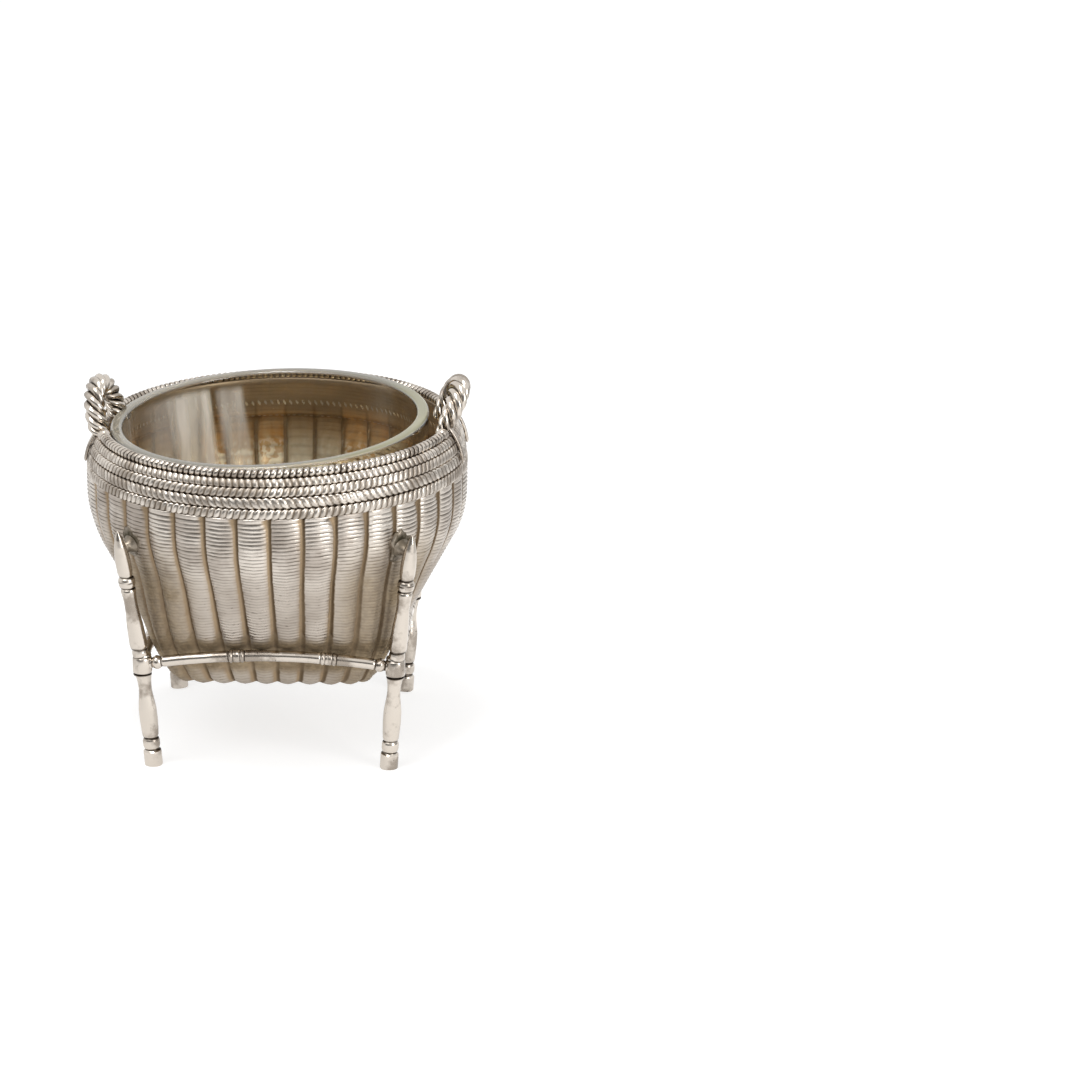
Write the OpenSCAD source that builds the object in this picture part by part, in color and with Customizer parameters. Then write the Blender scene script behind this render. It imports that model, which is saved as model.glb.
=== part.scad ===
// Open salt cellar: a fluted basket, round at the belly and squarish at the foot, with rope handles,
// carried by a bamboo-style stand, with a glass liner.
// Millimetres. The feet stand on z = 0 below the middle of the basket, the handles lie along X, and -Y is
// the front.

/* [Basket] */
// Largest radius of the basket, over the crests of its ribs
belly_r = 35; // [34:0.5:36.5]
// Radius of the curve of the belly, seen from the side
belly_arc = 18.4; // [18:0.1:19.2]
// Lean of the straight flank, from upright, in degrees
flank_angle = 30.5; // [29.5:0.5:31.5]
// Height of the underside above the table
base_z = 14.15; // [13.15:0.5:15.15]
// How far the edge of the underside lies inside the widest part
base_inset = 18.7; // [18.1:0.1:19.3]
// Radius of the corner between underside and flank
base_corner = 3.5; // [3:0.1:4]
// How far below the widest level the outline starts to turn from round to squarish
square_drop = 5.5; // [5:0.5:6.5]
// How far above the underside the outline is fully squarish
square_rise = 0.9; // [0.5:0.1:1.5]
// Thickness of the sheet metal
wall = 0.9; // [0.7:0.05:1.1]

/* [Ribs] */
// Number of ribs round the basket
rib_count = 36; // [28:8:36]
// Depth of the groove between two ribs
groove_depth = 0.8; // [0.5:0.1:1]
// How far the first groove stands from the middle of the front, in degrees
rib_turn = 2.6; // [0:0.2:5]

/* [Border] */
// Where the roped border starts on the belly, in degrees above the widest level
border_from = 11; // [10:0.5:12]
// Mean width of a roped row, measured round the belly
row_width = 1.8; // [1.6:0.05:1.9]
// How far the rows stand out from the sheet that carries them
row_proud = 1.15; // [1:0.05:1.3]
// How far the top edge of the sheet stands above the border
lip_rise = 0.6; // [0.4:0.1:0.9]
// How far the lip's outer edge stands out from the sheet below it
lip_flare = 0.1; // [0.05:0.05:0.3]
// Width of the flat lip that carries the rim rope
lip_width = 1.1; // [0.9:0.1:1.3]

/* [Rim rope] */
// Thickness of the rope on the rim
rope_d = 1.7; // [1.4:0.1:1.8]
// Diameter of the knob at each end of the rope
knob_d = 2.4; // [2:0.1:2.6]

/* [Handles] */
// Thickness of the handle's rope
handle_d = 3.2; // [2.8:0.1:3.4]
// Distance from the middle of a handle to the middle of each leg
handle_half_span = 5.8; // [5.6:0.1:6.4]
// Height of a handle above the top edge of the sheet, to the middle of its rope
handle_height = 8.8; // [7.8:0.5:9.8]
// How far the feet of a handle stand outside the lip
handle_out = 1; // [0.8:0.1:1.3]
// Outward lean of the handles, in degrees
handle_lean = 9.5; // [6:0.5:12]
// Thickness of the strap that runs down over the border
strap_t = 0.6; // [0.5:0.1:0.9]
// Width of the strap
strap_w = 2.6; // [2:0.1:3]

/* [Stand] */
// Radius of a leg where it is thickest
leg_r = 1.7; // [1.5:0.05:1.8]
// Height of the joints between legs and stretchers
joint_z = 19.8; // [19.3:0.1:20.6]
// How far the tips of the finials stay below the widest level
tip_drop = 1.3; // [0.5:0.1:2.5]
// How far the tip of a finial stands off the basket
tip_stand_off = 2.55; // [2.2:0.05:2.9]
// How far each foot stands in from its joint, along X and along Y
foot_inset = 1.5; // [1:0.1:2]
// Half height of the block where the stretchers meet a leg
joint_half = 2.1; // [1.9:0.1:2.4]
// Thickness of a stretcher
stretcher_d = 2.3; // [2.1:0.1:2.5]
// Rise of the front stretcher's arch
front_rise = 1.4; // [0.8:0.1:1.6]
// Rise of the arch of the back and side stretchers
other_rise = 0.5; // [0.4:0.1:0.8]
// How far below the widest level a peg meets the basket
peg_drop = 4.5; // [4:0.1:5]
// Diameter of a peg at the leg
peg_d = 2; // [1.6:0.1:2.2]
// Diameter of the flared foot of a peg, on the basket
peg_foot_d = 3.4; // [3:0.1:3.8]

/* [Glass liner] */
// Gap between the liner's upright wall and the lip
liner_rim_gap = 1.4; // [1:0.1:1.8]
// Thickness of the glass
liner_wall = 2.2; // [1.8:0.1:2.6]
// How far the liner's rim stands above the top edge of the sheet
liner_rise = 1.4; // [1:0.1:1.8]
// Radius of the curve between flank and upright wall
liner_arc = 12; // [10:0.5:14]
// Gap between the liner's flank and the basket
liner_gap = 0.9; // [0.6:0.1:1.2]

/* [Hidden] */
// Running clearance between pieces that are soldered or rest on each other
seat = 0.04;
// Gap between the liner's foot and the basket's floor
liner_seat = 0.1;
// Gap between neighbouring rows of the border
row_gap = 0.06;
// Overrun of cuts
over = 1;
// Facets of a turned surface
turned_fn = 48;

// A bowl's outline: a corner arc, a straight flank and an upper arc that share two centres at any inset.
flank_normal = [cos(flank_angle), -sin(flank_angle)];
base_r = belly_r - base_inset;
corner_centre = [base_r, base_z + base_corner];
flank_reach = flank_normal * corner_centre + base_corner;
function upper_centre(r, arc, reach) =
    [r - arc, (flank_normal[0] * (r - arc) - (reach - arc)) / -flank_normal[1]];
belly_centre = upper_centre(belly_r, belly_arc, flank_reach);
function polar(centre, r, a) = centre + r * [cos(a), sin(a)];
function arc_points(centre, r, from, to, steps) =
    [for (i = [0:steps]) polar(centre, r, from + (to - from) * i / steps)];
function between(a, b, steps) = [for (i = [1:steps - 1]) a + (b - a) * i / steps];

// Radius over the crests at any height of the flank or belly
tangent_z = belly_centre[1] + belly_arc * flank_normal[1];
function crest_r(z) = z < tangent_z ? (flank_reach - flank_normal[1] * z) / flank_normal[0]
    : belly_centre[0] + sqrt(pow(belly_arc, 2) - pow(z - belly_centre[1], 2));

// The border: four rows side by side on the sheet, which lies row_proud inside the crests
sheet_arc = belly_arc - row_proud;
row_width_shares = [1.09, 1.17, 1, 0.93];
row_count = len(row_width_shares);
row_half_sines = [for (share = row_width_shares) row_width * share / (2 * belly_arc)];
row_radii = [for (half = row_half_sines) (belly_arc * half - row_gap / 2) / (1 + half)];
// Angle of the row's lower edge; the edge past the last row is the border's top
function row_edge(i) = i == 0 ? border_from : row_edge(i - 1) + 2 * asin(row_half_sines[i - 1]);
first_row_angle = row_edge(1) - border_from;
last_row_angle = row_edge(row_count) - row_edge(row_count - 1);
border_to = row_edge(row_count);
// The lip stands on the end of the sheet's arc
sheet_end = polar(belly_centre, sheet_arc, border_to);
rim_z = sheet_end[1] + lip_rise;
lip_r = sheet_end[0] + lip_flare;

// Ribs: the columns of one rib from groove to groove, as shares of its width and of the groove's depth
rib_column_shares = [[0, 1], [0.15, 0.22], [0.5, 0], [0.85, 0.22]];
columns = len(rib_column_shares);
function column_angle(i) = (floor(i / columns) + rib_column_shares[i % columns][0]) * 360 / rib_count
    + rib_turn - 90;
function column_cut(i) = rib_column_shares[i % columns][1];
// Each level of the outline is [radius, height, depth of the grooves]
function with_depth(points, depth) = [for (p = points) [p[0], p[1], depth]];
corner_steps = 3;
flank_steps = 5;
belly_steps = 5;
base_groove_share = 0.6;
base_depth = groove_depth * base_groove_share;
function lower_levels(inset) = concat(
    with_depth(arc_points(corner_centre, base_corner - inset, -90, -flank_angle, corner_steps), base_depth),
    with_depth(between(polar(corner_centre, base_corner - inset, -flank_angle),
        polar(belly_centre, belly_arc - inset, -flank_angle), flank_steps), groove_depth),
    with_depth(arc_points(belly_centre, belly_arc - inset, -flank_angle,
        border_from - first_row_angle / 2, belly_steps), groove_depth));
function border_levels(arc) = with_depth([for (i = [0:row_count]) polar(belly_centre, arc, row_edge(i))], 0);
outer_levels = concat(lower_levels(0), border_levels(sheet_arc), [[lip_r, rim_z, 0]]);
inner_levels = concat(lower_levels(wall), border_levels(sheet_arc - wall), [[lip_r - lip_width, rim_z, 0]]);

// Below the belly the outline turns from a circle to a square with round corners that point at the legs
square_from_z = belly_centre[1] - square_drop;
square_full_z = base_z + square_rise;
corner_power = 6;
corner_trim = 13;
function eased(t) = t * t * (3 - 2 * t);
function squareness(z) = eased(max(0, min(1, (square_from_z - z) / (square_from_z - square_full_z))));
// Direction of one column, on the circle and on the square
function round_direction(a) = [cos(a), sin(a)];
function square_direction(a) =
    let (side = 90 * round(a / 90), share = (a - side) / 45, k = 1 - pow(share, corner_power) / corner_trim)
    k * ([cos(side), sin(side)] + share * [-sin(side), cos(side)]);
function direction(a, z) =
    let (w = squareness(z)) (1 - w) * round_direction(a) + w * square_direction(a);
function ring_points(level) = [for (i = [0:rib_count * columns - 1])
    let (r = level[0] - level[2] * column_cut(i), p = r * direction(column_angle(i), level[1]))
    [p[0], p[1], level[1]]];
function ring_faces(lower, upper, n) = [for (i = [0:n - 1]) let (j = (i + 1) % n)
    each [[lower + i, upper + j, lower + j], [lower + i, upper + i, upper + j]]];

module fluted_shell() {
    n = rib_count * columns;
    // The rings run up the outside and then down the inside
    levels = concat(outer_levels, [for (i = [len(inner_levels) - 1:-1:0]) inner_levels[i]]);
    last = len(levels) - 1;
    points = [for (level = levels) each ring_points(level)];
    walls = [for (k = [0:last - 1]) each ring_faces(k * n, (k + 1) * n, n)];
    underside = [[for (i = [0:n - 1]) i]];
    floor_face = [[for (i = [n - 1:-1:0]) last * n + i]];
    polyhedron(points, concat(underside, walls, floor_face), convexity = 6);
}

module basket_body() {
    color("#b9ae9f") fluted_shell();
}

// One row of the border: a round wire with a flat back, bent round the collar
row_steps = 16;
module rope_row(i) {
    r = row_radii[i - 1];
    middle = (row_edge(i - 1) + row_edge(i)) / 2;
    centre = polar(belly_centre, belly_arc - r, middle);
    back = belly_arc - r - sheet_arc * cos(middle - row_edge(i - 1)) - seat;
    open_angle = acos(-back / r);
    color("#cfc5b9") rotate_extrude($fn = 96)
        polygon(arc_points(centre, r, middle - open_angle, middle + open_angle, row_steps));
}

// Rim rope: half a ring on the lip, flat below, with a knob at each end beside the handles
rope_offset = 0.1;
rope_seat_share = 0.7;
rope_r = lip_r - lip_width / 2 + rope_offset;
rope_z = rim_z + rope_d / 2 * rope_seat_share;
knob_gap = 0.5;
knob_y = handle_half_span + handle_d / 2 + knob_gap;
knob_angle = asin(knob_y / rope_r);
module above(z) {
    intersection() {
        children();
        translate([-2 * belly_r, -2 * belly_r, z]) cube(4 * belly_r);
    }
}
module rim_rope() {
    color("#ddd5cb") above(rim_z + seat) {
        rotate([0, 0, knob_angle]) rotate_extrude(angle = 180 - 2 * knob_angle, $fn = 96)
            translate([rope_r, rope_z]) circle(d = rope_d, $fn = turned_fn);
        for (side = [-1, 1])
            translate([side * rope_r * cos(knob_angle), knob_y, rope_z]) sphere(d = knob_d, $fn = turned_fn);
    }
}

// Handle at +X: an arch of rope on two legs, and a strap from each leg down over the border
handle_r = lip_r + handle_out;
strap_from = border_from + first_row_angle;
strap_to = border_to + last_row_angle;
strap_turn = strap_w / belly_r * 180 / PI;
strap_arc = belly_arc + seat;
module handle_arch() {
    lift = handle_height - handle_half_span;
    translate([handle_r, 0, rim_z]) rotate([0, handle_lean, 0]) {
        translate([0, 0, lift]) rotate([90, 0, 90]) rotate_extrude(angle = 180, $fn = 96)
            translate([handle_half_span, 0]) circle(d = handle_d, $fn = turned_fn);
        for (side = [-1, 1])
            translate([0, side * handle_half_span, -over])
                cylinder(d = handle_d, h = lift + over, $fn = turned_fn);
    }
}
module handle_strap(side) {
    middle = atan(handle_half_span / handle_r);
    rotate([0, 0, side * middle - strap_turn / 2]) rotate_extrude(angle = strap_turn, $fn = 96)
        polygon(concat(arc_points(belly_centre, strap_arc, strap_from, strap_to, row_steps),
            arc_points(belly_centre, strap_arc + strap_t, strap_to, strap_from, row_steps)));
}
module handle() {
    color("#c9c1b6") {
        above(rim_z + seat) handle_arch();
        for (side = [-1, 1]) handle_strap(side);
    }
}

// Stand: each leg lies in the upright plane through the basket's axis at 45 degrees
joint_swell = 0.08;
joint_r = leg_r + joint_swell;
stretcher_r = stretcher_d / 2;
joint_xy = (flank_reach + stretcher_r + seat - flank_normal[1] * joint_z) / flank_normal[0];
joint_radial = joint_xy * sqrt(2);
foot_radial = (joint_xy - foot_inset) * sqrt(2);
tip_z = belly_centre[1] - tip_drop;
tip_radial = crest_r(tip_z) + tip_stand_off;
upper_length = norm([tip_radial - joint_radial, tip_z - joint_z]);
upper_lean = atan((tip_radial - joint_radial) / (tip_z - joint_z));
lower_lean = atan((joint_radial - foot_radial) / joint_z);
lower_length = norm([joint_radial - foot_radial, joint_z]);
// Turned outline of a leg below and above the joint: [share of its length, share of the leg's radius]
lower_turning_shares = [[0.02, 0.98], [0.13, 0.98], [0.15, 0.93], [0.165, 0.74], [0.18, 0.86], [0.2, 0.92],
    [0.24, 0.92], [0.26, 0.86], [0.275, 0.72], [0.295, 0.86], [0.36, 0.93], [0.46, 0.98], [0.56, 0.97],
    [0.64, 0.86], [0.7, 0.75], [0.76, 0.7], [0.83, 0.74], [0.9, 0.86], [1, 0.86]];
upper_turning_shares = [[0, 0.86], [0.1, 0.86], [0.14, 0.93], [0.22, 0.93], [0.3, 0.88], [0.38, 0.76],
    [0.45, 0.7], [0.51, 0.72], [0.56, 0.82], [0.575, 0.68], [0.59, 0.82], [0.605, 0.87], [0.635, 0.87],
    [0.65, 0.82], [0.66, 0.66], [0.67, 0.74], [0.7, 0.8], [0.76, 0.82], [0.82, 0.78], [0.88, 0.66],
    [0.94, 0.44], [0.98, 0.2]];
finial_share = 0.82;
foot_share = 0.98;
joint_groove = 0.35;
joint_chamfer = 0.4;
module turned(shares, length, start, end) {
    rotate_extrude($fn = turned_fn)
        polygon(concat([[0, start[0]], start[1]],
            [for (s = shares) [s[1] * leg_r, s[0] * length]], end));
}
module joint_block() {
    rotate_extrude($fn = turned_fn)
        polygon([[0, -joint_half], [joint_r - joint_chamfer, -joint_half],
            [joint_r, joint_chamfer - joint_half], [joint_r, joint_half - joint_chamfer],
            [joint_r - joint_chamfer, joint_half], [0, joint_half]]);
}
module leg() {
    color("#cbc2b7") difference() {
        union() {
            translate([foot_radial, 0, 0]) rotate([0, lower_lean, 0])
                turned(lower_turning_shares, lower_length,
                    [-over, [foot_share * leg_r, -over]], [[0, lower_length]]);
            translate([joint_radial, 0, joint_z]) joint_block();
            translate([joint_radial, 0, joint_z]) rotate([0, upper_lean, 0])
                turned(upper_turning_shares, upper_length, [0, [0, 0]], [[0, upper_length]]);
        }
        translate([0, -belly_r, -2 * over]) cube([2 * belly_r, 2 * belly_r, 2 * over]);
    }
}

// Stretcher at the front: a bar that arches up along the flank of the basket, with ringed nodes like bamboo
node_place_shares = [-0.123, 0.239];
node_ring = 0.18;
node_ring_width = 0.5;
node_ring_pitch = 2.1;
module stretcher(rise) {
    radius = (pow(joint_xy, 2) + pow(rise, 2)) / (2 * rise);
    sweep = 2 * asin(joint_xy / radius);
    color("#c4bcb2") difference() {
        translate([0, -joint_xy, joint_z]) rotate([flank_angle, 0, 0]) translate([0, 0, rise - radius]) {
            rotate([90, 0, 0]) rotate([0, 0, 90 - sweep / 2]) rotate_extrude(angle = sweep, $fn = 360)
                translate([radius, 0]) circle(r = stretcher_r, $fn = turned_fn);
            for (share = node_place_shares, side = [-1, 1])
                rotate([0, share * sweep + side * node_ring_pitch / 2 / radius * 180 / PI, 0])
                    translate([0, 0, radius]) rotate([0, 90, 0])
                        cylinder(r = stretcher_r + node_ring, h = node_ring_width, center = true,
                            $fn = turned_fn);
        }
        for (side = [-1, 1])
            translate([side * joint_xy, -joint_xy, joint_z - 2 * joint_half])
                cylinder(r = joint_r + seat, h = 4 * joint_half, $fn = turned_fn);
    }
}

// Peg: a flared stud, square to the belly, that carries the upper end of a leg
peg_z = belly_centre[1] - peg_drop;
peg_slope = asin(peg_drop / belly_arc);
peg_flare = 0.8;
peg_reach = 2.6;
module peg() {
    color("#5d5f52") difference() {
        translate([crest_r(peg_z), 0, peg_z]) rotate([0, 90 + peg_slope, 0])
            rotate_extrude($fn = turned_fn)
                polygon([[0, seat], [peg_foot_d / 2, seat], [peg_d / 2, peg_flare],
                    [peg_d / 2, peg_reach], [0, peg_reach]]);
        translate([joint_radial, 0, joint_z]) rotate([0, upper_lean, 0])
            cylinder(r = finial_share * leg_r + seat, h = upper_length, $fn = turned_fn);
    }
}

// Glass liner: a thick bowl that follows the flank of the basket and rises straight to its rim
liner_r = lip_r - lip_width - liner_rim_gap;
liner_top_z = rim_z + liner_rise;
liner_base_z = base_z + wall + liner_seat;
liner_round = 2.5;
liner_corner = base_corner + liner_round;
liner_reach = flank_reach - wall - groove_depth - liner_gap;
liner_corner_z = liner_base_z + liner_corner;
liner_corner_centre = [(liner_reach - liner_corner - flank_normal[1] * liner_corner_z) / flank_normal[0],
    liner_corner_z];
liner_centre = upper_centre(liner_r, liner_arc, liner_reach);
liner_lip_round = 0.7;
liner_steps = 8;
function liner_side(inset) = concat(
    arc_points(liner_corner_centre, liner_corner - inset, -90, -flank_angle, liner_steps),
    arc_points(liner_centre, liner_arc - inset, -flank_angle, 0, liner_steps));
function reversed(list) = [for (i = [len(list) - 1:-1:0]) list[i]];
module glass_liner() {
    outside = liner_side(0);
    inside = liner_side(liner_wall);
    lip_z = liner_top_z - liner_lip_round;
    lip = concat(
        arc_points([liner_r - liner_lip_round, lip_z], liner_lip_round, 0, 90, 5),
        arc_points([liner_r - liner_wall + liner_lip_round, lip_z], liner_lip_round, 90, 180, 5));
    color("#c9ccb0", 0.45) rotate_extrude($fn = 96)
        polygon(concat([[0, liner_base_z]], outside, lip, reversed(inside), [[0, liner_base_z + liner_wall]]));
}

basket_body();
rope_row(1);  // rope_row_1
rope_row(2);  // rope_row_2
rope_row(3);  // rope_row_3
rope_row(4);  // rope_row_4
rotate([0, 0, 180]) rim_rope();  // rim_rope_front
rim_rope();  // rim_rope_back
rotate([0, 0, 180]) handle();  // handle_left
handle();  // handle_right
rotate([0, 0, 225]) leg();  // leg_front_left
rotate([0, 0, 315]) leg();  // leg_front_right
rotate([0, 0, 135]) leg();  // leg_back_left
rotate([0, 0, 45]) leg();  // leg_back_right
stretcher(front_rise);  // stretcher_front
rotate([0, 0, 180]) stretcher(other_rise);  // stretcher_back
rotate([0, 0, 270]) stretcher(other_rise);  // stretcher_left
rotate([0, 0, 90]) stretcher(other_rise);  // stretcher_right
rotate([0, 0, 225]) peg();  // peg_front_left
rotate([0, 0, 315]) peg();  // peg_front_right
rotate([0, 0, 135]) peg();  // peg_back_left
rotate([0, 0, 45]) peg();  // peg_back_right
glass_liner();
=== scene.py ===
"""Open salt cellar: a fluted basket with a roped border and rope handles, on a bamboo-style stand.

Sizes are in millimetres until a mesh is written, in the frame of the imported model: the feet stand on z = 0
below the middle of the basket, the handles lie along X, and -Y is the front.
"""

import logging
import math
from collections.abc import Callable
from dataclasses import dataclass
from enum import Enum

import bpy
import numpy as np
from mathutils import Matrix, Vector


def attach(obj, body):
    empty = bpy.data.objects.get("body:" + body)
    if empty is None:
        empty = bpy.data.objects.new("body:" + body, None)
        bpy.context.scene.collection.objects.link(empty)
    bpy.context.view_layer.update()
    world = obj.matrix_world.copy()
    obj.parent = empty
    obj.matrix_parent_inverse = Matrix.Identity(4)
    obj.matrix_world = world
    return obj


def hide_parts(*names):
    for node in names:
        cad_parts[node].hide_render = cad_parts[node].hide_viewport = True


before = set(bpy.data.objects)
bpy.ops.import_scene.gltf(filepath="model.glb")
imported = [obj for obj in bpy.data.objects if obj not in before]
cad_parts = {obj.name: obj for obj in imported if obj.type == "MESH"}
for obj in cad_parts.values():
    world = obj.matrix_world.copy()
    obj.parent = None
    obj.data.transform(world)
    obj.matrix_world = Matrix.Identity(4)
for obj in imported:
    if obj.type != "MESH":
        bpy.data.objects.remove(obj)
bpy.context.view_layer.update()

LOG = logging.getLogger("salt_cellar")
MM = 0.001
FULL_TURN = 2 * math.pi
WHITE = (1.0, 1.0, 1.0, 1.0)
# Points nearer than this are one point, in metres
WELD = 2e-7
# Edges of a turned piece that bend more than this stay sharp, in degrees
SHARP = 40
Array = np.ndarray
# A surface gives, for shares u and v of its grid, the points in millimetres and the values stored on them.
Surface = Callable[[Array, Array], tuple[Array, dict[str, Array]]]


class Body(Enum):
    """The bodies that pieces ride on."""

    HOLDER = "holder"
    LINER = "liner"


class Slot(Enum):
    """The record's material slots."""

    BASKET = "basket_silver"
    BORDER = "border_silver"
    BRIGHT = "bright_silver"
    SOLDER = "solder_grey"
    GLASS = "liner_glass"


class Slant(Enum):
    """Which way the strands of a roped wire lean, seen from outside."""

    FORWARD = 1
    BACKWARD = -1


# Workbench: the few moves that shape every piece


def deselect() -> None:
    """Leaves edit mode and clears the selection, so that an operator acts on the new piece only."""
    if bpy.context.object and bpy.context.object.mode != "OBJECT":
        bpy.ops.object.mode_set(mode="OBJECT")
    bpy.ops.object.select_all(action="DESELECT")


def choose(piece: bpy.types.Object) -> None:
    """Selects one piece and makes it the active one.

    Args:
        piece: The object to work on.
    """
    deselect()
    piece.select_set(True)
    bpy.context.view_layer.objects.active = piece


def points_of(piece: bpy.types.Object) -> Array:
    """Reads a mesh's points.

    Args:
        piece: The mesh object.

    Returns:
        One row of x, y and z for each vertex.
    """
    flat = np.empty(len(piece.data.vertices) * 3)
    piece.data.vertices.foreach_get("co", flat)
    return flat.reshape(-1, 3)


def set_points(piece: bpy.types.Object, points: Array) -> None:
    """Moves every vertex of a mesh.

    Args:
        piece: The mesh object.
        points: One row of x, y and z for each vertex, in millimetres.
    """
    piece.data.vertices.foreach_set("co", (np.asarray(points) * MM).ravel())
    piece.data.update()


def store(piece: bpy.types.Object, values: dict[str, Array]) -> None:
    """Stores named values on the vertices, for the materials to read.

    Args:
        piece: The mesh object.
        values: For each name, one value for each vertex.
    """
    for name, value in values.items():
        layer = piece.data.attributes.new(name, "FLOAT", "POINT")
        layer.data.foreach_set("value", np.asarray(value, dtype=np.float32))


def weld(piece: bpy.types.Object) -> None:
    """Merges seams and poles, and turns the faces of a closed piece outwards.

    Args:
        piece: The mesh object.
    """
    choose(piece)
    bpy.ops.object.mode_set(mode="EDIT")
    bpy.ops.mesh.select_all(action="SELECT")
    bpy.ops.mesh.remove_doubles(threshold=WELD)
    bpy.ops.mesh.normals_make_consistent(inside=False)
    bpy.ops.object.mode_set(mode="OBJECT")


def rolled(name: str, u_steps: int, v_steps: int, surface: Surface) -> bpy.types.Object:
    """Adds a grid, rolls it on to a closed surface and welds its seams.

    Args:
        name: The piece's name.
        u_steps: Cells along u.
        v_steps: Cells along v.
        surface: Gives each point of the grid its place.

    Returns:
        The closed piece.
    """
    deselect()
    bpy.ops.mesh.primitive_grid_add(x_subdivisions=u_steps, y_subdivisions=v_steps, size=1.0)
    piece = bpy.context.object
    piece.name = piece.data.name = name
    flat = points_of(piece)
    points, values = surface(flat[:, 0] + 0.5, flat[:, 1] + 0.5)
    set_points(piece, points)
    store(piece, values)
    weld(piece)
    bpy.ops.object.shade_smooth()
    return piece


def spun(name: str, outline: list[tuple[float, float]], steps: int) -> bpy.types.Object:
    """Adds a ring of vertices, lays it on an outline in the XZ plane and spins it round Z.

    Args:
        name: The piece's name.
        outline: Points of radius and height from axis to axis, in millimetres.
        steps: Facets of the full turn.

    Returns:
        The closed turned piece.
    """
    deselect()
    bpy.ops.mesh.primitive_circle_add(vertices=len(outline), radius=1.0, fill_type="NOTHING")
    piece = bpy.context.object
    piece.name = piece.data.name = name
    set_points(piece, np.array([(r, 0.0, z) for r, z in outline]))
    bpy.ops.object.mode_set(mode="EDIT")
    bpy.ops.mesh.select_all(action="DESELECT")
    bpy.ops.mesh.select_mode(type="EDGE")
    bpy.ops.object.mode_set(mode="OBJECT")
    ends = {0, len(outline) - 1}
    for edge in piece.data.edges:
        edge.select = set(edge.vertices) == ends
    bpy.ops.object.mode_set(mode="EDIT")
    bpy.ops.mesh.delete(type="EDGE")
    bpy.ops.mesh.select_mode(type="VERT")
    bpy.ops.mesh.select_all(action="SELECT")
    bpy.ops.mesh.spin(steps=steps, angle=FULL_TURN, center=(0, 0, 0), axis=(0, 0, 1), use_auto_merge=True)
    bpy.ops.object.mode_set(mode="OBJECT")
    weld(piece)
    bpy.ops.object.shade_smooth_by_angle(angle=math.radians(SHARP))
    return piece


def moved(piece: bpy.types.Object, matrix: Matrix) -> bpy.types.Object:
    """Moves a piece by its mesh, so that its object stays at the origin.

    Args:
        piece: The mesh object.
        matrix: The move, in metres.

    Returns:
        The same piece.
    """
    piece.data.transform(matrix)
    piece.data.update()
    return piece


def shift(x: float, y: float, z: float) -> Matrix:
    """Returns the matrix of a move given in millimetres."""
    return Matrix.Translation((x * MM, y * MM, z * MM))


def turn(degrees: float, axis: str) -> Matrix:
    """Returns the matrix of a turn about one of the frame's axes."""
    return Matrix.Rotation(math.radians(degrees), 4, axis)


def copied(piece: bpy.types.Object, name: str, matrix: Matrix) -> bpy.types.Object:
    """Copies a piece with its own mesh and moves the copy.

    Args:
        piece: The piece that is copied.
        name: The copy's name.
        matrix: The move, in metres.

    Returns:
        The copy.
    """
    choose(piece)
    bpy.ops.object.duplicate(linked=False)
    twin = bpy.context.object
    twin.name = twin.data.name = name
    return moved(twin, matrix)


def joined(name: str, pieces: list[bpy.types.Object]) -> bpy.types.Object:
    """Joins meshes that are soldered into one piece.

    Args:
        name: The piece's name.
        pieces: The meshes; the first one keeps its place in the scene.

    Returns:
        The joined piece.
    """
    choose(pieces[0])
    for piece in pieces[1:]:
        piece.select_set(True)
    bpy.ops.object.join()
    pieces[0].name = pieces[0].data.name = name
    return pieces[0]


def arc(centre: Array, radius: float, start: float, end: float, steps: int) -> list[tuple[float, float]]:
    """Gives points along an arc in the plane of radius and height.

    Args:
        centre: The arc's centre, in millimetres.
        radius: Its radius, in millimetres.
        start: First angle, in degrees.
        end: Last angle, in degrees.
        steps: Number of steps from first to last.

    Returns:
        The points, ends included.
    """
    angles = np.radians(np.linspace(start, end, steps + 1))
    return [(centre[0] + radius * math.cos(a), centre[1] + radius * math.sin(a)) for a in angles]


def eased(share: Array) -> Array:
    """Rounds off a share that runs from 0 to 1, so that it starts and ends without a kink."""
    share = np.clip(share, 0, 1)
    return share * share * (3 - 2 * share)


def squared(wave: Array, power: float) -> Array:
    """Raises a sine or cosine to a power and keeps its sign: under one, it makes a round section squarer."""
    return np.sign(wave) * np.abs(wave) ** power


def swelling(away: Array, width: float) -> Array:
    """Gives a smooth swelling of height 1 that falls off over a half width."""
    return np.exp(-((away / width) ** 2))


def wander(angle: Array, seed: int, waves: int = 9) -> Array:
    """Gives a smooth random value round a closed ring, for the unevenness of hand work.

    Args:
        angle: Angles round the ring, in radians.
        seed: Fixes the random order.
        waves: Number of waves that are added up.

    Returns:
        Values between about -1 and 1.
    """
    rng = np.random.default_rng(seed)
    total = np.zeros_like(angle)
    for k in range(1, waves + 1):
        total = total + np.sin(k * rng.integers(1, 4) * angle + rng.uniform(0, FULL_TURN)) / math.sqrt(k)
    return total / math.sqrt(waves)


def finish_piece(piece: bpy.types.Object, body: Body, slot: Slot, finish: bpy.types.Material,
                 *nodes: str) -> None:
    """Dresses a piece, hangs it on its body and lets it stand for its CAD nodes.

    Args:
        piece: The finished mesh object.
        body: The body that it moves with.
        slot: The record's slot of its finish.
        finish: Its material.
        *nodes: The CAD nodes that it replaces.
    """
    piece.data.materials.clear()
    piece.data.materials.append(finish)
    register(piece, body, slot, *nodes)


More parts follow.
